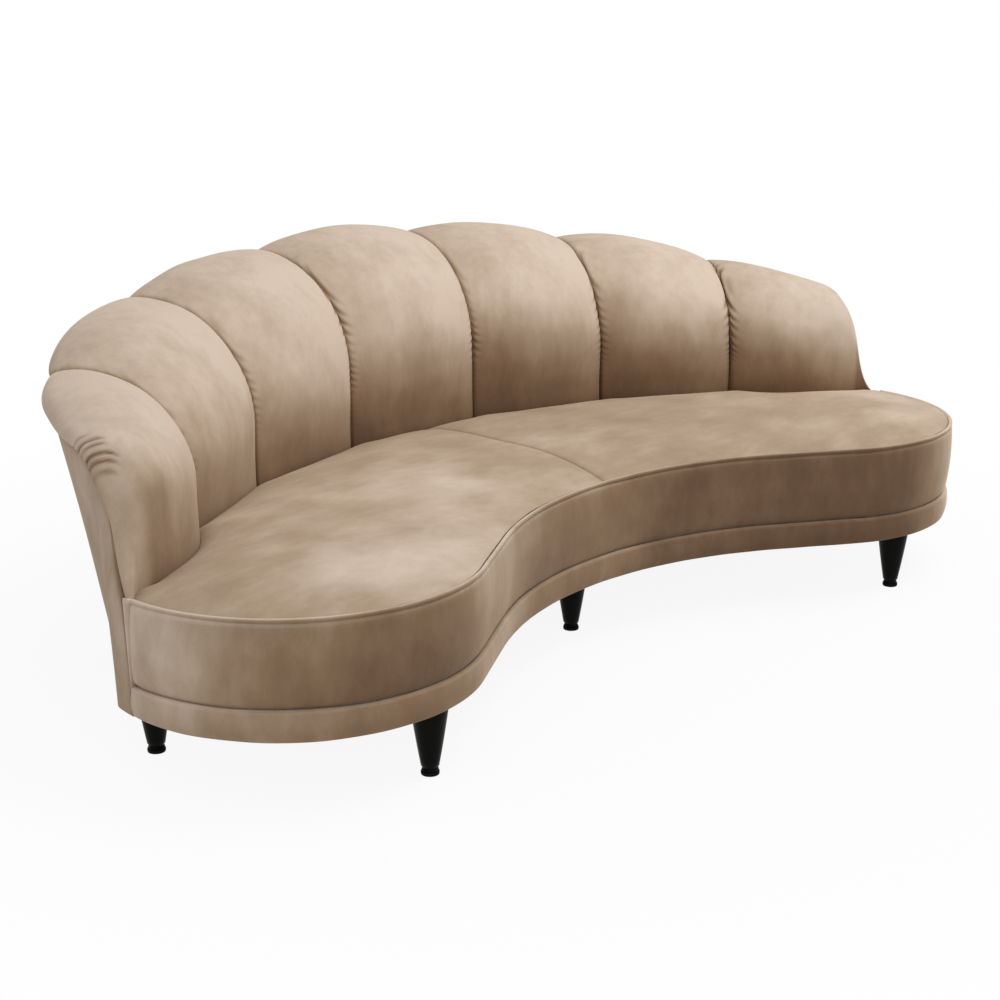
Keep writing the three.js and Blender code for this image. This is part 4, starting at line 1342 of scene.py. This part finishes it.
    def tone(self, skin: Skin) -> np.ndarray:
        """Works out the channels' painted light and shade: light up their height and on the left arm's nose,
        a painted side light, and painted shade at the seams, feet and rim.

        Args:
            skin: The channel's points.

        Returns:
            A tone of about 0 to 1 at each point.
        """
        u, seams = skin.u, np.array(self.flutes.seams)
        index = np.clip(np.searchsorted(seams, u) - 1, 0, self.flutes.count - 1)
        start, end = seams[index], seams[index + 1]
        across = np.clip((2 * u - start - end) / (end - start), -1, 1)
        gap = (1 - np.abs(across)) * (end - start) / 2 * self.plan.end_angle * self.plan.seat_r
        arm, nose = 1 - smooth(-0.95, -0.90, u), 1 - smooth(-1.0, -0.975, u)
        above = skin.z - self.heights.seat
        foot = Falloff(*(mix(a, b, arm) for a, b in zip(self.foot_shade, self.arm_foot_shade)))
        shade = (self.seam_shade.soft(gap) + foot.sharp(above)) * (1 - 0.7 * nose)
        shade += self.rim_shade.sharp(self.from_rim(skin)) * (1 - nose)
        turned = self.side_light * np.clip(across * 1.2, -1, 1) * (1 - arm)
        return self.painted_height_light(skin, index, arm) + self.nose_light * nose + turned - shade


@dataclass(frozen=True)
class Seat(VelvetWork):
    """The two halves of the seat, which meet at a seam in the middle, in millimetres."""

    inset: float = 10.2
    back_gap: float = 1.2
    floor_gap: float = 0.3
    edge_lift: float = 6.3
    crown: float = 40.0
    tuck: float = 36.0
    seam_opening: tuple[float, ...] = (0.0, 2.0, 5.0, 9.0, 15.0, 24.0)
    seam_gap: float = 0.15
    grooves: tuple[Falloff, ...] = (Falloff(4.5, 5.0), Falloff(2.2, 24.0))
    tuck_width: float = 55.0
    crown_reach: float = 260.0
    dents: float = 1.1
    base_tone: float = 0.72
    patches: float = 0.05
    # Painted light on the seat: pools of light and a lighter right side.
    glow: float = 0.14
    glows: tuple[Glow, ...] = (Glow(-420, 1010, 420, 260, 1.0), Glow(-680, 700, 290, 130, 1.6))
    right_light: Ramp = Ramp(550, 1050, 0.17)
    back_shade: Falloff = Falloff(0.30, 14.0)
    seam_shade: Falloff = Falloff(0.16, 4.0)
    stuffing: Stuffing = Stuffing(pressure=3.0, cap=0.003)

    def height(self, x: np.ndarray, y: np.ndarray, back_r: np.ndarray) -> np.ndarray:
        """Works out the seat's height at plan places.

        Args:
            x: Places sideways.
            y: Places from front to back.
            back_r: Radius of the back's foot behind each place.

        Returns:
            Heights above the floor.
        """
        inside = np.clip((self.plan.inside(x, y) - 9.0) / self.crown_reach, 0, 1)
        behind = np.maximum(back_r - np.hypot(x, y), 0)
        rise = self.crown * (1 - (1 - inside) ** 2.4)
        tuck = np.minimum(rise, self.tuck) * np.exp(-behind / self.tuck_width)
        seam = sum(groove.sharp(x) for groove in self.grooves)
        dents = self.dents * ripple(x, y, 0 * x, 190.0, 3)
        bottom = self.heights.seat + self.floor_gap
        top = self.heights.seat + self.edge_lift + rise - tuck - seam + dents
        return np.maximum(mix(top, bottom, self.under_nose(x, y)), bottom + 0.8)

    def under_nose(self, x: np.ndarray, y: np.ndarray) -> np.ndarray:
        """Finds the plan points that lie below the right arm's nose.

        Args:
            x: Places sideways.
            y: Places from front to back.

        Returns:
            1 below it and 0 elsewhere.
        """
        angle = self.plan.end_angle
        crown = float(self.flutes.crown_at(self.flutes.count - 1, np.array(1.0)))
        r = self.plan.seat_r - crown - 2.0
        start = np.array((r * math.sin(angle), r * math.cos(angle)))
        reach = np.array(self.arm_end.nose_reach + 3.0)
        way = np.array(self.plan.lobe_point(reach, np.array(0.0))) - start
        way /= np.linalg.norm(way)
        beyond = (y - start[1]) * way[0] - (x - start[0]) * way[1]
        return smooth(-1.5, 1.5, beyond) * (np.arctan2(x, y) > angle - 0.004)

    def build(self) -> None:
        """Makes the right half and the left one, its mirror image."""
        reach = self.plan.lobe_angle + math.asin((self.plan.lobe_r - self.inset) / self.plan.lobe_distance)
        end = self.plan.end_angle
        opening = np.array(self.seam_opening) / self.plan.seat_r + self.seam_gap / self.plan.seat_r
        tip = reach - (reach - end) * (1 - np.linspace(0, 0.975, 26)) ** 2
        body = np.linspace(opening[-1], end, 76)[1:-1]
        angles = np.concatenate((opening, body, tip))[:, None]
        v = np.concatenate(((0, 0.004, 0.012), 0.5 - 0.5 * np.cos(math.pi * np.linspace(0.09, 1, 44))))
        near = self.plan.near(angles, self.inset)
        lean = self.flutes.lean_at(np.minimum(angles / end, 1.0))
        back_r = self.plan.seat_r - self.back_gap - np.where(angles > end, 0.0, lean)
        far = np.minimum(back_r, self.plan.outline(angles, self.inset))
        radius = mix(near, far, v[None, :])
        height = self.height(radius * np.sin(angles), radius * np.cos(angles), back_r)
        floor = np.full((len(angles), 2), self.heights.seat + self.floor_gap)
        held = np.ones((len(angles), len(v) + 2))
        across = np.sin(math.pi * v) ** 0.5
        length = np.sin(math.pi * np.linspace(0, 1, len(angles))) ** 0.5
        held[:, : len(v)] = 1 - across[None, :] * length[:, None]
        for name, side in SIDES:
            top = self.plan.polar(side * angles, radius, height)
            under = self.plan.polar(side * angles, np.hstack((far, near)), floor)
            piece = Meshes.loft(f"seat_{name}", np.concatenate((top, under), axis=1))
            self.stuffing.fill(piece, held.ravel())
            Stuffing.subdivide(piece)
            self.finish(piece, self.tone(self.skin(piece)), (f"seat_pad_{name}",), 0.8, NapWay.LEVEL)

    def tone(self, skin: Skin) -> np.ndarray:
        """Works out the seat's tone: painted pools of light, painted light towards the right, painted shade
        at the back's foot and at the middle seam, and random patches.

        Args:
            skin: The seat's points.

        Returns:
            A tone of about 0 to 1 at each point.
        """
        glow = sum(patch.at(skin.x, skin.y) for patch in self.glows)
        behind = self.plan.seat_r - self.flutes.lean_at(np.clip(skin.u, -1, 1)) - skin.radius
        shade = self.back_shade.sharp(np.maximum(behind, 0)) + self.seam_shade.sharp(np.abs(skin.x))
        light = self.glow * glow + self.right_light.at(skin.x)
        return self.base_tone + self.patches * skin.blotch + light - shade


@dataclass(frozen=True)
class Front(VelvetWork):
    """The border below the seat, the band below it and the piping on the seat's edge, in millimetres."""

    gap: float = 0.6
    border_lean: float = 7.0
    border_depth: float = 20.0
    border_hollow: float = 4.6
    border_foot: Falloff = Falloff(5.5, 5.0)
    border_top: Falloff = Falloff(2.2, 3.5)
    band_out: float = 2.0
    band_depth: float = 21.0
    band_top_r: float = 7.0
    band_foot_r: float = 6.0
    band_foot_inset: float = 6.0
    piping_r: float = 4.5

    def run(self, name: str, line: np.ndarray, section: np.ndarray, lean: float = 0.0,
            step_in: float = 0.0) -> bpy.types.Object:
        """Runs a section along the front outline.

        Args:
            name: Name of the piece.
            line: Rows of x, y and the inward normal's x and y.
            section: Rows of inset and height, as one closed loop.
            lean: How far the two ends reach out at the floor.
            step_in: How far the two ends are drawn in.

        Returns:
            The new object.
        """
        inset, z = section.T[:, None, :]
        x = line[:, 0][:, None] + inset * line[:, 2][:, None]
        y = line[:, 1][:, None] + inset * line[:, 3][:, None]
        low = (self.heights.seat - z[0]) / (self.heights.seat - self.heights.base)
        for row, step in ((0, line[0, :2] - line[1, :2]), (-1, line[-1, :2] - line[-2, :2])):
            way = step / np.linalg.norm(step)
            x[row] += way[0] * lean * low + step_in * line[row, 2]
            y[row] += way[1] * lean * low + step_in * line[row, 3]
        return Meshes.loft(name, self.plan.plain(x, y, z))

    def border_section(self) -> np.ndarray:
        """Works out the border's section, with a roll at its top and its foot.

        Returns:
            Rows of inset and height.
        """
        low, high = self.heights.band + self.gap, self.heights.seat - self.gap / 2
        tall = self.heights.seat - self.heights.band
        share = np.linspace(0, 1, 22)
        inset = mix(0.0, self.border_lean, share) - self.border_hollow * np.sin(math.pi * share)
        inset += self.border_foot.sharp((1 - share) * tall) + self.border_top.sharp(share * tall)
        face = np.stack((inset, mix(high, low, share)), axis=1)
        return np.vstack((face, ((self.border_depth, low), (self.border_depth, high))))

    def band_section(self) -> np.ndarray:
        """Works out the band's section, with a round top and foot.

        Returns:
            Rows of inset and height.
        """
        base, high = self.heights.base, self.heights.band - self.gap
        out, top_r, foot_r = self.band_out, self.band_top_r, self.band_foot_r
        turn = np.linspace(0, math.pi / 2, 7)
        top = np.stack((out + top_r * (1 - np.sin(turn)), high - top_r * (1 - np.cos(turn))), axis=1)
        share = np.linspace(0.1, 1, 12)
        inset = out - 1.4 * np.sin(math.pi * share) + 4.0 * share**3
        side = np.stack((inset, mix(high - top_r, base + foot_r, share)), axis=1)
        turn = turn[1:]
        under = (self.band_foot_inset + foot_r * (1 - np.cos(turn)), base + foot_r - foot_r * np.sin(turn))
        corners = ((self.band_depth, base), (self.band_depth, high))
        return np.vstack((top, side, np.stack(under, axis=1), corners))

    def build(self) -> None:
        """Makes the border, the band and the piping."""
        reach = self.arm_end.nose_reach
        line = self.plan.front_line(90, 14, 56, reach)
        for name, node, section, dents, seed, fill in (
                ("border", "front_border", self.border_section(), 0.9, 21, 0.9),
                ("band", "base_band", self.band_section(), 0.5, 22, 0.95)):
            piece = self.run(name, line, section, self.arm_end.border_lean, 2.5)
            self.soften(piece, dents, seed)
            self.finish(piece, EdgePaintedShading(self.heights).tone(self.skin(piece)), (node,), fill)
        turn, r = np.linspace(0, 2 * math.pi, 15)[:-1], self.piping_r
        section = np.stack((r + r * np.cos(turn), self.heights.seat + r + r * np.sin(turn)), axis=1)
        piece = self.run("piping", self.plan.front_line(110, 16, 60, reach + 1.0), section)
        self.finish(piece, EdgePaintedShading(self.heights).tone(self.skin(piece)), ("seat_piping",))


@dataclass(frozen=True)
class Outside(VelvetWork):
    """The outer panel of the back and the strips beside it, in millimetres."""

    puff: float = 2.5
    thickness: float = 8.0
    end_thickness: float = 10.5
    strip_start: float = 0.5
    strip_gap: float = 0.6
    strip_depth: float = 12.0
    base_tone: float = 0.78
    patches: float = 0.04
    rim_shade: Falloff = Falloff(0.34, 11.0)
    edge_shade: Falloff = Falloff(0.30, 4.0)

    def panel(self) -> None:
        """Makes the plain outer panel of the back."""
        t = np.linspace(-1, 1, 181)
        u = ((t + np.sin(t * math.pi / 2)) / 2)[:, None]
        levels = np.linspace(0, 0.988, 30)[None, :]
        s, z = self.back.outer(u, levels)
        puff = self.puff * np.sin(math.pi * levels) * smooth(0.0, 0.1, 1 - np.abs(u))
        thick = mix(self.thickness, self.end_thickness, smooth(0.9, 1.0, np.abs(u)))
        ring_s = np.hstack((s + puff, (s - thick)[:, ::-1]))
        ring_z = np.hstack((z, z[:, ::-1]))
        rings = self.plan.polar(u * self.plan.end_angle, self.plan.seat_r + ring_s, ring_z)
        left, right = self.panel_end(levels[0], -1), self.panel_end(levels[0], 1)
        piece = Meshes.loft("outer_panel", np.concatenate((left[::-1], rings, right)))
        self.soften(piece, 1.0, 31)
        self.finish(piece, self.tone(self.skin(piece)), ("outer_back_panel",))

    def panel_end(self, levels: np.ndarray, side: int) -> np.ndarray:
        """Carries the outer panel round the arm's end to its front edge.

        Args:
            levels: Shares of its height.
            side: 1 for the right arm, -1 for the left one.

        Returns:
            The rings of points in metres, away from the arm.
        """
        base, seat = self.heights.base, self.heights.seat
        top = float(self.back.rim(np.array(1.0))[1])
        skew, reach = self.plan.end_skew, self.arm_end.panel_reach
        rows = []
        for share in np.linspace(0, 1, 13)[1:]:
            fall = self.arm_end.fall(1 - share * reach / self.arm_end.nose_reach, side)
            z = mix(base, seat + (top - seat) * fall, levels)
            above = np.clip((z - seat) / (top - seat), 0, 1)
            inset, top_lean = self.back.front_inset(z), self.arm_end.top_lean * above
            faces = []
            for lean in (top_lean, top_lean + self.end_thickness):
                slid = (1 - share) * (inset * math.tan(skew) + lean * math.sin(skew))
                deep = inset + lean * mix(math.cos(skew), 1.0, share)
                faces.append(self.plan.lobe_point(share * reach + slid, deep))
            outer, inner = faces
            x, y = (np.concatenate((a, b[::-1])) for a, b in zip(outer, inner))
            rows.append(self.plan.plain(side * x, y, np.concatenate((z, z[::-1]))))
        return np.array(rows)

    def strips(self) -> None:
        """Makes the padded strips that close the arms between the outer panel and the border."""
        h = self.heights
        z = np.linspace(h.base + 1.0, h.seat + 5.0, 26)
        low = np.maximum(h.seat - z, 0) / (h.seat - h.base)
        start = self.arm_end.panel_reach + self.strip_start
        ends = self.arm_end.nose_reach - self.strip_gap - self.arm_end.border_lean * low
        turn = np.linspace(0, math.pi, 9)
        for name, side in SIDES:
            rings = []
            for height, end in zip(z, ends):
                inset = float(self.back.front_inset(np.array(height)))
                gone = np.concatenate((mix(start, end, (1 - np.cos(turn)) / 2), (end, start)))
                face = inset + 2.0 - 3.0 * np.sin(turn)
                depth = np.concatenate((face, (inset + self.strip_depth,) * 2))
                x, y = self.plan.lobe_point(gone, depth)
                rings.append(self.plan.plain(side * x, y, height))
            piece = Meshes.loft(f"arm_strip_{name}", np.array(rings))
            self.finish(piece, EdgePaintedShading(self.heights).tone(self.skin(piece)), ())

    def build(self) -> None:
        """Makes the panel and the two strips."""
        self.panel()
        self.strips()

    def tone(self, skin: Skin) -> np.ndarray:
        """Works out the outer panel's tone, with painted shade at its rim and front edge.

        Args:
            skin: The panel's points.

        Returns:
            A tone of about 0 to 1 at each point.
        """
        rim, gone = self.panel_rim(skin)
        shade = self.rim_shade.sharp(np.maximum(rim - skin.z, 0))
        shade += self.edge_shade.sharp(np.maximum(self.arm_end.panel_reach - gone, 0))
        return self.base_tone + self.patches * skin.blotch - shade

    def panel_rim(self, skin: Skin) -> tuple[np.ndarray, np.ndarray]:
        """Finds the outer panel's upper edge at its points' plan places.

        Args:
            skin: The panel's points.

        Returns:
            The edge's height, and the distance walked round the arm's end.
        """
        turn = np.arctan2(skin.y - self.plan.lobe_y, np.abs(skin.x) - self.plan.lobe_x)
        gone = (self.plan.end_turn - turn) * self.plan.lobe_r
        left = np.clip(1 - gone / self.arm_end.nose_reach, 0, 1)
        end = self.back.rim(np.ones(skin.u.shape))[1]
        ending = mix(self.heights.seat, end, self.arm_end.fall(left, np.sign(skin.x)))
        beyond = (np.abs(skin.u) > 0.9) & (gone > 0)
        return np.where(beyond, ending, self.back.rim(skin.u)[1]), np.where(beyond, gone, -1e3)


@dataclass(frozen=True)
class Legs:
    """The turned legs and their glides, in millimetres."""

    lacquer: bpy.types.Material
    plastic: bpy.types.Material
    places: tuple[str, ...] = ("front_left", "front_centre", "front_right", "side_left", "side_right",
                               "rear_left", "rear_right")
    top: float = 129.7
    top_r: float = 33.5
    body_r: float = 16.6
    neck_r: float = 13.6
    foot_r: float = 15.5
    foot: float = 8.3
    glide_profile: tuple[tuple[float, float], ...] = (
        (0.0, 0.0), (14.0, 0.0), (16.2, 0.8), (17.0, 2.4), (17.0, 6.6), (16.4, 7.6), (15.0, 8.0), (0.0, 8.0))

    def leg_profile(self) -> list[tuple[float, float]]:
        """Works out the leg's profile.

        Returns:
            Radii and heights from its foot to its top.
        """
        neck = self.foot + 9.6
        lower = [(0.0, self.foot), (self.foot_r - 1.0, self.foot), (self.foot_r, self.foot + 1.0),
                 (self.foot_r, self.foot + 2.6), (self.neck_r + 0.5, self.foot + 3.8),
                 (self.neck_r, self.foot + 5.0), (self.neck_r + 0.6, self.foot + 6.4), (self.body_r, neck)]
        shares = np.linspace(0.1, 1, 9)
        body = [(mix(self.body_r, self.top_r, s + 0.03 * math.sin(math.pi * s)), mix(neck, self.top - 7.0, s))
                for s in shares]
        return [*lower, *body, (self.top_r, self.top), (0.0, self.top)]

    def build(self) -> None:
        """Makes the legs and the glides at the CAD nodes' places."""
        for place in self.places:
            low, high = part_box(f"leg_{place}")
            x, y = (low[0] + high[0]) / 2, (low[1] + high[1]) / 2
            leg = Meshes.revolve(f"turned_leg_{place}", self.leg_profile(), x, y)
            self.finish(leg, self.lacquer, "lacquer", f"leg_{place}")
            glide = Meshes.revolve(f"foot_glide_{place}", self.glide_profile, x, y)
            self.finish(glide, self.plastic, "glide", f"glide_{place}")

    @staticmethod
    def finish(piece: bpy.types.Object, material: bpy.types.Material, slot: str, node: str) -> None:
        """Dresses a turned piece and ties it to the frame.

        Args:
            piece: The piece.
            material: Its finish.
            slot: Its material slot; not used.
            node: CAD node that it stands for.
        """
        piece.data.materials.append(material)
        piece.data.set_sharp_from_angle(angle=math.radians(35))
        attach(piece, "root")
        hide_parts(node)
        LOG.info("made %s", piece.name)


@dataclass(frozen=True)
class Frame:
    """Finishes of the CAD nodes that stay as they are."""

    finishes: dict[str, Finish] = field(default_factory=lambda: {
        "beech": Finish("beech", (0.60, 0.40, 0.21), 0.6, grain=0.2, grain_scale=14.0),
        "plywood": Finish("plywood", (0.62, 0.45, 0.27), 0.7, grain=0.15, grain_scale=10.0),
        "webbing": Finish("webbing", (0.10, 0.085, 0.07), 0.9, grain=0.3, grain_scale=150.0),
        "foam": Finish("foam", (0.78, 0.72, 0.52), 0.95, grain=0.06, grain_scale=90.0),
        "lining": Finish("lining", (0.02, 0.02, 0.02), 0.95),
        "steel": Finish("steel", (0.58, 0.58, 0.60), 0.35, metallic=1.0),
    })

    def dress(self) -> None:
        """Gives the nodes of the frame their materials."""
        built = {name: finish.build() for name, finish in self.finishes.items()}
        for row in frame["record"]["subparts"]:
            material = built.get(row["material_slot"])
            if material is None:
                continue
            for slot in frame["nodes"][row["node"]].material_slots:
                slot.material = material
            LOG.info("dressed %s", row["node"])


class Lamp(NamedTuple):
    """A square soft lamp: its name, place, aim and width in metres, and its power in watts."""

    name: str
    place: tuple[float, float, float]
    aim: tuple[float, float, float]
    size: float
    power: float


@dataclass(frozen=True)
class Studio:
    """Floor, lamps, world and camera, in metres, with angles in degrees."""

    camera_place: tuple[float, float, float] = (-2.847, -2.556, 1.375)
    camera_turn: tuple[float, float, float] = (74.165, 0.0, -45.778)
    lens: float = 67.23
    sensor: float = 36.0
    ground: float = 40.0
    clear_from: float = 0.6
    clear_to: float = 2.4
    clear_share: float = 0.91
    sky: float = 0.42
    lamps: tuple[Lamp, ...] = (
        Lamp("key", (1.5, -1.3, 4.1), (0.0, 0.1, 0.4), 3.0, 98),
        Lamp("fill", (-3.8, -3.4, 2.2), (0.0, 0.0, 0.4), 2.5, 42))

    def white_for_camera(self, nodes: bpy.types.Nodes, links: bpy.types.NodeLinks) -> bpy.types.NodeSocket:
        """Tells rays of the camera, mirrors and glass from the rest.

        Args:
            nodes: Nodes of the world or material.
            links: Their links.

        Returns:
            A value that is 1 for them.
        """
        path = nodes.new("ShaderNodeLightPath")
        value = path.outputs["Is Camera Ray"]
        for name in ("Is Glossy Ray", "Is Transmission Ray"):
            either = nodes.new("ShaderNodeMath")
            either.operation = "MAXIMUM"
            links.new(value, either.inputs[0])
            links.new(path.outputs[name], either.inputs[1])
            value = either.outputs[0]
        return value

    def world(self) -> None:
        """Makes a white world that lights the object softly."""
        world = bpy.data.worlds.new("studio")
        bpy.context.scene.world = world
        world.use_nodes = True
        nodes, links = world.node_tree.nodes, world.node_tree.links
        light = nodes["Background"]
        light.inputs["Color"].default_value = (1, 1, 1, 1)
        light.inputs["Strength"].default_value = self.sky
        white = nodes.new("ShaderNodeBackground")
        white.inputs["Color"].default_value = (1, 1, 1, 1)
        white.inputs["Strength"].default_value = 1.0
        choose = nodes.new("ShaderNodeMixShader")
        links.new(self.white_for_camera(nodes, links), choose.inputs[0])
        links.new(light.outputs[0], choose.inputs[1])
        links.new(white.outputs[0], choose.inputs[2])
        links.new(choose.outputs[0], nodes["World Output"].inputs["Surface"])

    def floor(self) -> None:
        """Makes a pale floor that keeps a soft shadow."""
        work = bmesh.new()
        bmesh.ops.create_grid(work, x_segments=1, y_segments=1, size=self.ground / 2)
        mesh = bpy.data.meshes.new("floor")
        work.to_mesh(mesh)
        work.free()
        floor = bpy.data.objects.new("floor", mesh)
        bpy.context.scene.collection.objects.link(floor)
        material = bpy.data.materials.new("floor")
        material.use_nodes = True
        nodes, links = material.node_tree.nodes, material.node_tree.links
        matte = nodes["Principled BSDF"]
        matte.inputs["Base Color"].default_value = (0.85, 0.85, 0.85, 1)
        matte.inputs["Roughness"].default_value = 1.0
        matte.inputs["Specular IOR Level"].default_value = 0.0
        white = nodes.new("ShaderNodeEmission")
        white.inputs["Strength"].default_value = 1.0
        place = nodes.new("ShaderNodeTexCoord")
        away = nodes.new("ShaderNodeVectorMath")
        away.operation = "LENGTH"
        links.new(place.outputs["Object"], away.inputs[0])
        clear = nodes.new("ShaderNodeMapRange")
        clear.interpolation_type = "SMOOTHSTEP"
        clear.inputs["From Min"].default_value = self.clear_from
        clear.inputs["From Max"].default_value = self.clear_to
        clear.inputs["To Min"].default_value = self.clear_share
        clear.inputs["To Max"].default_value = 1.0
        links.new(away.outputs["Value"], clear.inputs["Value"])
        share = nodes.new("ShaderNodeMath")
        share.operation = "MULTIPLY"
        links.new(clear.outputs["Result"], share.inputs[1])
        choose = nodes.new("ShaderNodeMixShader")
        links.new(self.white_for_camera(nodes, links), share.inputs[0])
        links.new(share.outputs[0], choose.inputs[0])
        links.new(matte.outputs[0], choose.inputs[1])
        links.new(white.outputs[0], choose.inputs[2])
        links.new(choose.outputs[0], nodes["Material Output"].inputs["Surface"])
        mesh.materials.append(material)

    @staticmethod
    def hang(lamp: Lamp) -> None:
        """Adds a lamp and turns it to its aim.

        Args:
            lamp: The lamp.
        """
        data = bpy.data.lights.new(lamp.name, "AREA")
        data.size = lamp.size
        data.energy = lamp.power
        hung = bpy.data.objects.new(lamp.name, data)
        hung.location = lamp.place
        way = np.array(lamp.aim) - np.array(lamp.place)
        flat = math.hypot(way[0], way[1])
        hung.rotation_euler = Euler((math.atan2(flat, -way[2]), 0, math.atan2(-way[0], way[1])))
        bpy.context.scene.collection.objects.link(hung)

    def camera(self, leg_y: float) -> None:
        """Places the camera as the photograph was taken.

        Args:
            leg_y: Place of the front centre leg from front to back, in metres.
        """
        data = bpy.data.cameras.new("camera")
        data.lens = self.lens
        data.sensor_width = self.sensor
        camera = bpy.data.objects.new("camera", data)
        x, y, z = self.camera_place
        camera.location = (x, y + leg_y, z)
        camera.rotation_euler = Euler([math.radians(a) for a in self.camera_turn])
        bpy.context.scene.collection.objects.link(camera)
        bpy.context.scene.camera = camera

    def build(self, leg_y: float) -> None:
        """Makes the whole studio.

        Args:
            leg_y: Place of the front centre leg from front to back, in metres.
        """
        bpy.context.scene.view_settings.view_transform = "Standard"
        self.world()
        self.floor()
        for lamp in self.lamps:
            self.hang(lamp)
        self.camera(leg_y)


def velvet_work(leg_y: float) -> None:
    """Makes the velvet pieces, with the plan placed by the front centre leg.

    Args:
        leg_y: Place of that leg from front to back, in metres.
    """
    flat = Plan()
    plan = Plan(centre_y=flat.front_y + flat.front_r + LEG_SETBACK - leg_y / MM)
    heights = Heights()
    back = BackShape(plan, heights)
    velvet = {
        NapWay.UPRIGHT: Velvet().build(),
        NapWay.LEVEL: Velvet("velvet_seat", (0.55, 1.0, 1.0)).build(),
    }
    for work in (Channels, Seat, Front, Outside):
        work(plan, heights, back, Flutes(back), ArmEnd(), velvet).build()


def main() -> None:
    """Builds the sofa's looks and logs each piece."""
    logging.basicConfig(level=logging.INFO, format="%(message)s")
    low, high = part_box("leg_front_centre")
    leg_y = (low[1] + high[1]) / 2
    Studio().build(leg_y)
    velvet_work(leg_y)
    lacquer = Finish("lacquer", (0.004, 0.0035, 0.003), 0.34, gloss=0.05).build()
    plastic = Finish("glide", (0.004, 0.004, 0.004), 0.5, gloss=0.05).build()
    Legs(lacquer, plastic).build()
    Frame().dress()
    bpy.context.view_layer.update()


if __name__ == "__main__":
    main()
